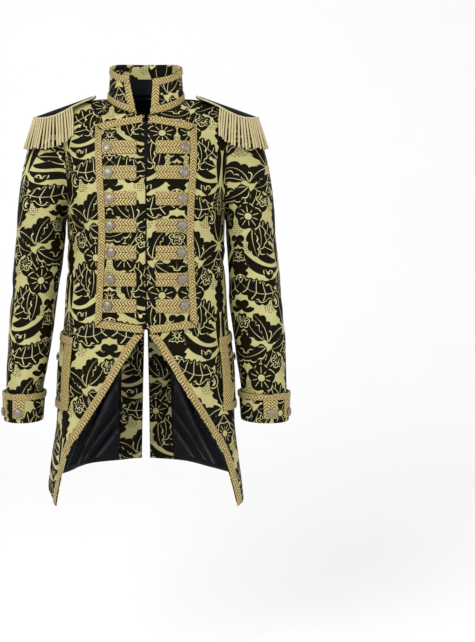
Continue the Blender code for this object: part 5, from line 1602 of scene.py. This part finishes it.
def braid_material():
    m = Nodes("braid")
    weave = m.weave()
    s, w = m.part(weave, 0), m.part(weave, 1)
    phase = m.math("MULTIPLY", m.math("ADD", s, m.math("ABSOLUTE", w)), 1 / PLAIT)
    ridge = m.math("ABSOLUTE", m.math("SINE", m.math("MULTIPLY", phase, math.pi)))
    thread = m.wave(m.math("SUBTRACT", s, m.math("ABSOLUTE", w)), 0.0011)
    # Painted shade in the plait's grooves and painted highlights on its ridges.
    tone = m.mix(m.ramp(ridge, 0.2, 0.8), srgb(72, 55, 19), srgb(148, 126, 60))
    tone = m.mix(m.ramp(m.math("MULTIPLY", ridge, m.noise(weave, 320.0, 2.0)), 0.36, 0.56), tone,
                 srgb(207, 189, 130))
    edge = m.ramp(m.math("ABSOLUTE", w), 0.0056, 0.0068)
    tone = m.mix(m.math("MULTIPLY", edge, m.wave(s, 0.0022)), tone, srgb(170, 145, 76))
    m.set(Base_Color=tone, Roughness=0.5, Metallic=0.12, Sheen_Weight=0.1)
    m.set(Normal=m.bump(m.math("ADD", thread, m.math("MULTIPLY", m.noise(weave, 700.0), 0.5)), 0.00018, 0.8))
    return m.material


def cord_material():
    m = Nodes("cord")
    weave, groove = m.weave(), m.attribute("groove")
    thread = m.wave(m.math("ADD", m.part(weave, 0), m.part(weave, 1)), 0.0010)
    # Painted shade: brown in the grooves between the plies, pale gold on their crowns.
    tone = m.mix(m.ramp(groove, 0.74, 0.94), srgb(96, 78, 40), srgb(188, 173, 122))
    tone = m.mix(m.math("MULTIPLY", thread, m.noise(weave, 500.0)), tone, srgb(214, 203, 162))
    m.set(Base_Color=tone, Roughness=0.48, Metallic=0.08, Sheen_Weight=0.15)
    m.set(Normal=m.bump(thread, 0.0002, 0.6))
    return m.material


def velvet_material():
    m = Nodes("velvet")
    place = m.place()
    tone = m.mix(m.noise(place, 60.0, 4.0, 0.6), srgb(4, 4, 4), srgb(13, 12, 13))
    m.set(Base_Color=tone, Roughness=0.92, Sheen_Weight=0.06, Sheen_Roughness=0.35, Specular_IOR_Level=0.03)
    m.set(Normal=m.bump(m.noise(place, 900.0, 2.0), 0.0006, 0.5))
    return m.material


def satin_material():
    m = Nodes("satin")
    weave, place = m.weave(), m.place()
    tone = m.mix(m.noise(place, 18.0, 3.0), srgb(2, 2, 4), srgb(8, 8, 12))
    # Painted highlights: the satin turns grey-violet on the slopes of the lining's folds.
    tone = m.mix(m.ramp(m.attribute("groove"), 0.01, 0.16), tone, srgb(50, 49, 60))
    m.set(Base_Color=tone, Roughness=m.ramp(m.noise(place, 40.0), 0.3, 0.7, 0.30, 0.42))
    m.set(Specular_IOR_Level=0.10)
    m.set(Normal=m.bump(m.wave(m.part(weave, 1), 0.0008), 0.00008, 0.5,
                        m.bump(m.noise(place, 22.0, 2.0), 0.004, 0.5)))
    return m.material


def pewter_material():
    m = Nodes("pewter")
    place = m.place()
    worn = m.noise(place, 380.0, 3.0)
    tone = m.mix(m.ramp(m.attribute("groove"), -0.2, 0.2), srgb(88, 82, 74), srgb(164, 155, 143))
    tone = m.mix(m.ramp(worn, 0.35, 0.7), srgb(122, 114, 103), tone)
    m.set(Base_Color=tone, Metallic=0.85, Roughness=m.ramp(worn, 0.3, 0.7, 0.30, 0.48))
    m.set(Normal=m.bump(worn, 0.0001, 0.4))
    return m.material


def plain_material(name, colour, rough):
    m = Nodes(name)
    tone = m.mix(m.noise(m.place(), 3.0), srgb(*colour), srgb(*(c - 2 for c in colour)))
    m.set(Base_Color=tone, Roughness=rough, Specular_IOR_Level=0.1)
    return m.material


# ---------------------------------------------------------------- the jacket

BROCADE, BRAIDED, CORDED = brocade_material(), braid_material(), cord_material()
VELVET, SATIN_BLACK, PEWTER = velvet_material(), satin_material(), pewter_material()


# Materials and slot of a piece, by the ending of its name or by what else it is.
FINISHES = {
    "cloth": ([BROCADE, SATIN_BLACK], "brocade"), "satin": ([SATIN_BLACK], "satin"),
    "plaited": ([BRAIDED, BRAIDED], "braid"), "twisted": ([CORDED], "cord"),
    "pile": ([VELVET], "velvet"), "turned": ([PEWTER], "pewter"),
}


def keep(build, node, ending, finish=None):
    """Make the object that stands for a node, and keep it by the node's name."""
    materials, slot = FINISHES[finish or ending]
    build.object(f"{node}_{ending}", materials, node, slot)


def button(node, seat, normal, kind):
    keep(button_build(seat, normal, kind), node, "turned")


SEAT_ABOVE = 0.003       # height above the cloth from which a button's seat is found
FROG_SPREAD = 0.004      # up and down from a front button's middle to where its frog is felt
STRIP_SPREAD = 0.012     # the same round the cuff, as a share


def make_side(side, sign):
    """Make all pieces of one side and give back its front's build."""
    front, back = (body_panel(kind, side, sign) for kind in ("front", "back"))
    sleeve, _ = tube(partial(sleeve_surface, side), sign, *SLEEVE_GRID, SLEEVE_HEAD_ROW, f"sleeve_{side}")
    for kind, build in (("front", front), ("back", back), ("sleeve", sleeve)):
        keep(build, f"{kind}_{side}", "cloth")
    front_tree, back_tree = tree_of(front), tree_of(back)
    bib = bib_build(sign, front_tree)
    keep(bib, f"front_braid_{side}", "plaited")
    bib_tree = tree_of(bib)
    for number, (z, x) in enumerate(zip(FROGS["z"], FROGS["button_x"]), 1):
        below, above = (cast(bib_tree, x * sign, z + dz)[0] for dz in (-FROG_SPREAD, FROG_SPREAD))
        normal = cast(front_tree, x * sign, z)[1]
        button(f"front_button_{side}_{number}", (below + above) / 2, normal, "front")
    for kind, surface, ends, tree, length in (
        ("edge", front_surface, EDGE_BRAID_V, front_tree, EDGE_BRAID_LENGTH),
        ("vent", back_surface, VENT_BRAID_V, back_tree, VENT_BRAID_LENGTH),
    ):
        build = edge_braid_build(side, sign, surface, ends, tree, length)
        keep(build, f"{kind}_braid_{side}", "plaited")
    seat, normal = cast(back_tree, VENT_BUTTON_X * sign, VENT_BUTTON_Z, -1.0)
    button(f"vent_button_{side}", seat, normal, "vent")

    flap, trim = pocket_builds(side, sign, tree_of(front, back))
    keep(flap, f"pocket_flap_{side}", "cloth")
    keep(trim, f"pocket_braid_{side}", "plaited")
    angle, z = math.radians(POCKET_BUTTON[0]), POCKET_BUTTON[1]
    point, normal = layer(partial(torso, side), *(np.array([k, k + STEP]) for k in (angle, z)), sign)
    seat, _ = settle(tree_of(flap), point + normal * SEAT_ABOVE)
    button(f"pocket_button_{side}", seat[0], normal[0], "pocket")

    cuff, trim, place = cuff_builds(side, sign)
    keep(cuff, f"cuff_{side}", "cloth")
    keep(trim, f"cuff_braid_{side}", "plaited")
    trim_tree = tree_of(trim)
    level = (CUFF_BUTTON_Z - CUFF_BOTTOM) / (CUFF_TOP - CUFF_BOTTOM)
    for number, middle in enumerate(CUFF_STRIPS, 1):
        _, normal = place(*np.meshgrid((middle, middle + 0.01), (level, level + 0.05)))
        near = []
        for k in (-STRIP_SPREAD, STRIP_SPREAD):
            point, _ = place(np.array([[middle + k]]), np.array([[level]]))
            near.append(settle(trim_tree, point + normal[:1, :1] * SEAT_ABOVE)[0])
        button(f"cuff_button_{side}_{number}", (near[0] + near[1])[0, 0] / 2, normal[0, 0], "cuff")

    facing, lining = facing_build(side, sign), lining_builds(side, sign)
    keep(facing, f"vent_facing_{side}", "cloth")
    keep(lining, f"back_lining_{side}", "cloth", "satin")
    shells = tree_of(front, back, sleeve)
    height = board_height(shells, sign)
    keep(board_build(height, sign), f"epaulette_board_{side}", "pile")
    keep(fringe_build(sign, shells, height), f"epaulette_fringe_{side}", "twisted")
    return front


FRONTS = [make_side(side, sign) for side, sign in SIDES.items()]
keep(collar_build(), "collar", "cloth")
keep(collar_trim_build(), "collar_braid", "plaited")
keep(underlap_build(tree_of(*FRONTS)), "underlap", "cloth", "satin")


# ---------------------------------------------------------------- stage

def cyclorama():
    """Pale floor that curves up into a pale wall behind the jacket."""
    floor, wall, bend, half = -1.45, 4.0, 1.6, 9.0
    profile = [(-9.0, floor), (wall - bend, floor)]
    for turn in np.linspace(0.0, math.pi / 2, 14)[1:]:
        profile.append((wall - bend + bend * math.sin(turn), floor + bend * (1 - math.cos(turn))))
    profile.append((wall, 7.0))
    points = [(x, y, z) for y, z in profile for x in (-half, half)]
    faces = [[2 * k, 2 * k + 1, 2 * k + 3, 2 * k + 2] for k in range(len(profile) - 1)]
    mesh = bpy.data.meshes.new("cyclorama")
    mesh.from_pydata(points, [], faces)
    mesh.polygons.foreach_set("use_smooth", [True] * len(faces))
    mesh.materials.append(plain_material("backdrop", (250, 250, 250), 0.9))
    made = bpy.data.objects.new("cyclorama", mesh)
    bpy.context.scene.collection.objects.link(made)


LIT = Vector((0.0, 0.0, -0.4))     # what both lamps point at
WORLD_STRENGTH = 0.86


def area_light(name, place, size, power):
    data = bpy.data.lights.new(name, "AREA")
    data.shape, data.size, data.energy = "SQUARE", size, power
    made = bpy.data.objects.new(name, data)
    made.location = place
    made.rotation_euler = (LIT - Vector(place)).to_track_quat("-Z", "Y").to_euler()
    bpy.context.scene.collection.objects.link(made)


cyclorama()
world = bpy.data.worlds.new("studio")
bpy.context.scene.world = world
world.use_nodes = True
background = world.node_tree.nodes["Background"].inputs
background["Color"].default_value = (1.0, 1.0, 1.0, 1.0)
background["Strength"].default_value = WORLD_STRENGTH
area_light("key", place=(-1.6, -2.6, 1.6), size=1.8, power=72.0)
area_light("fill", place=(2.4, -2.0, 0.6), size=2.4, power=22.0)

camera = bpy.data.cameras.new("camera")
camera.lens = 49.85
camera.sensor_width = 36.0
camera.shift_x = 0.1425
camera.shift_y = -0.1106
view = bpy.data.objects.new("camera", camera)
view.location = (0.0, -2.0, -0.3375)
view.rotation_euler = (math.pi / 2, 0.0, 0.0)
bpy.context.scene.collection.objects.link(view)
bpy.context.scene.camera = view
bpy.context.scene.view_settings.view_transform = "Standard"
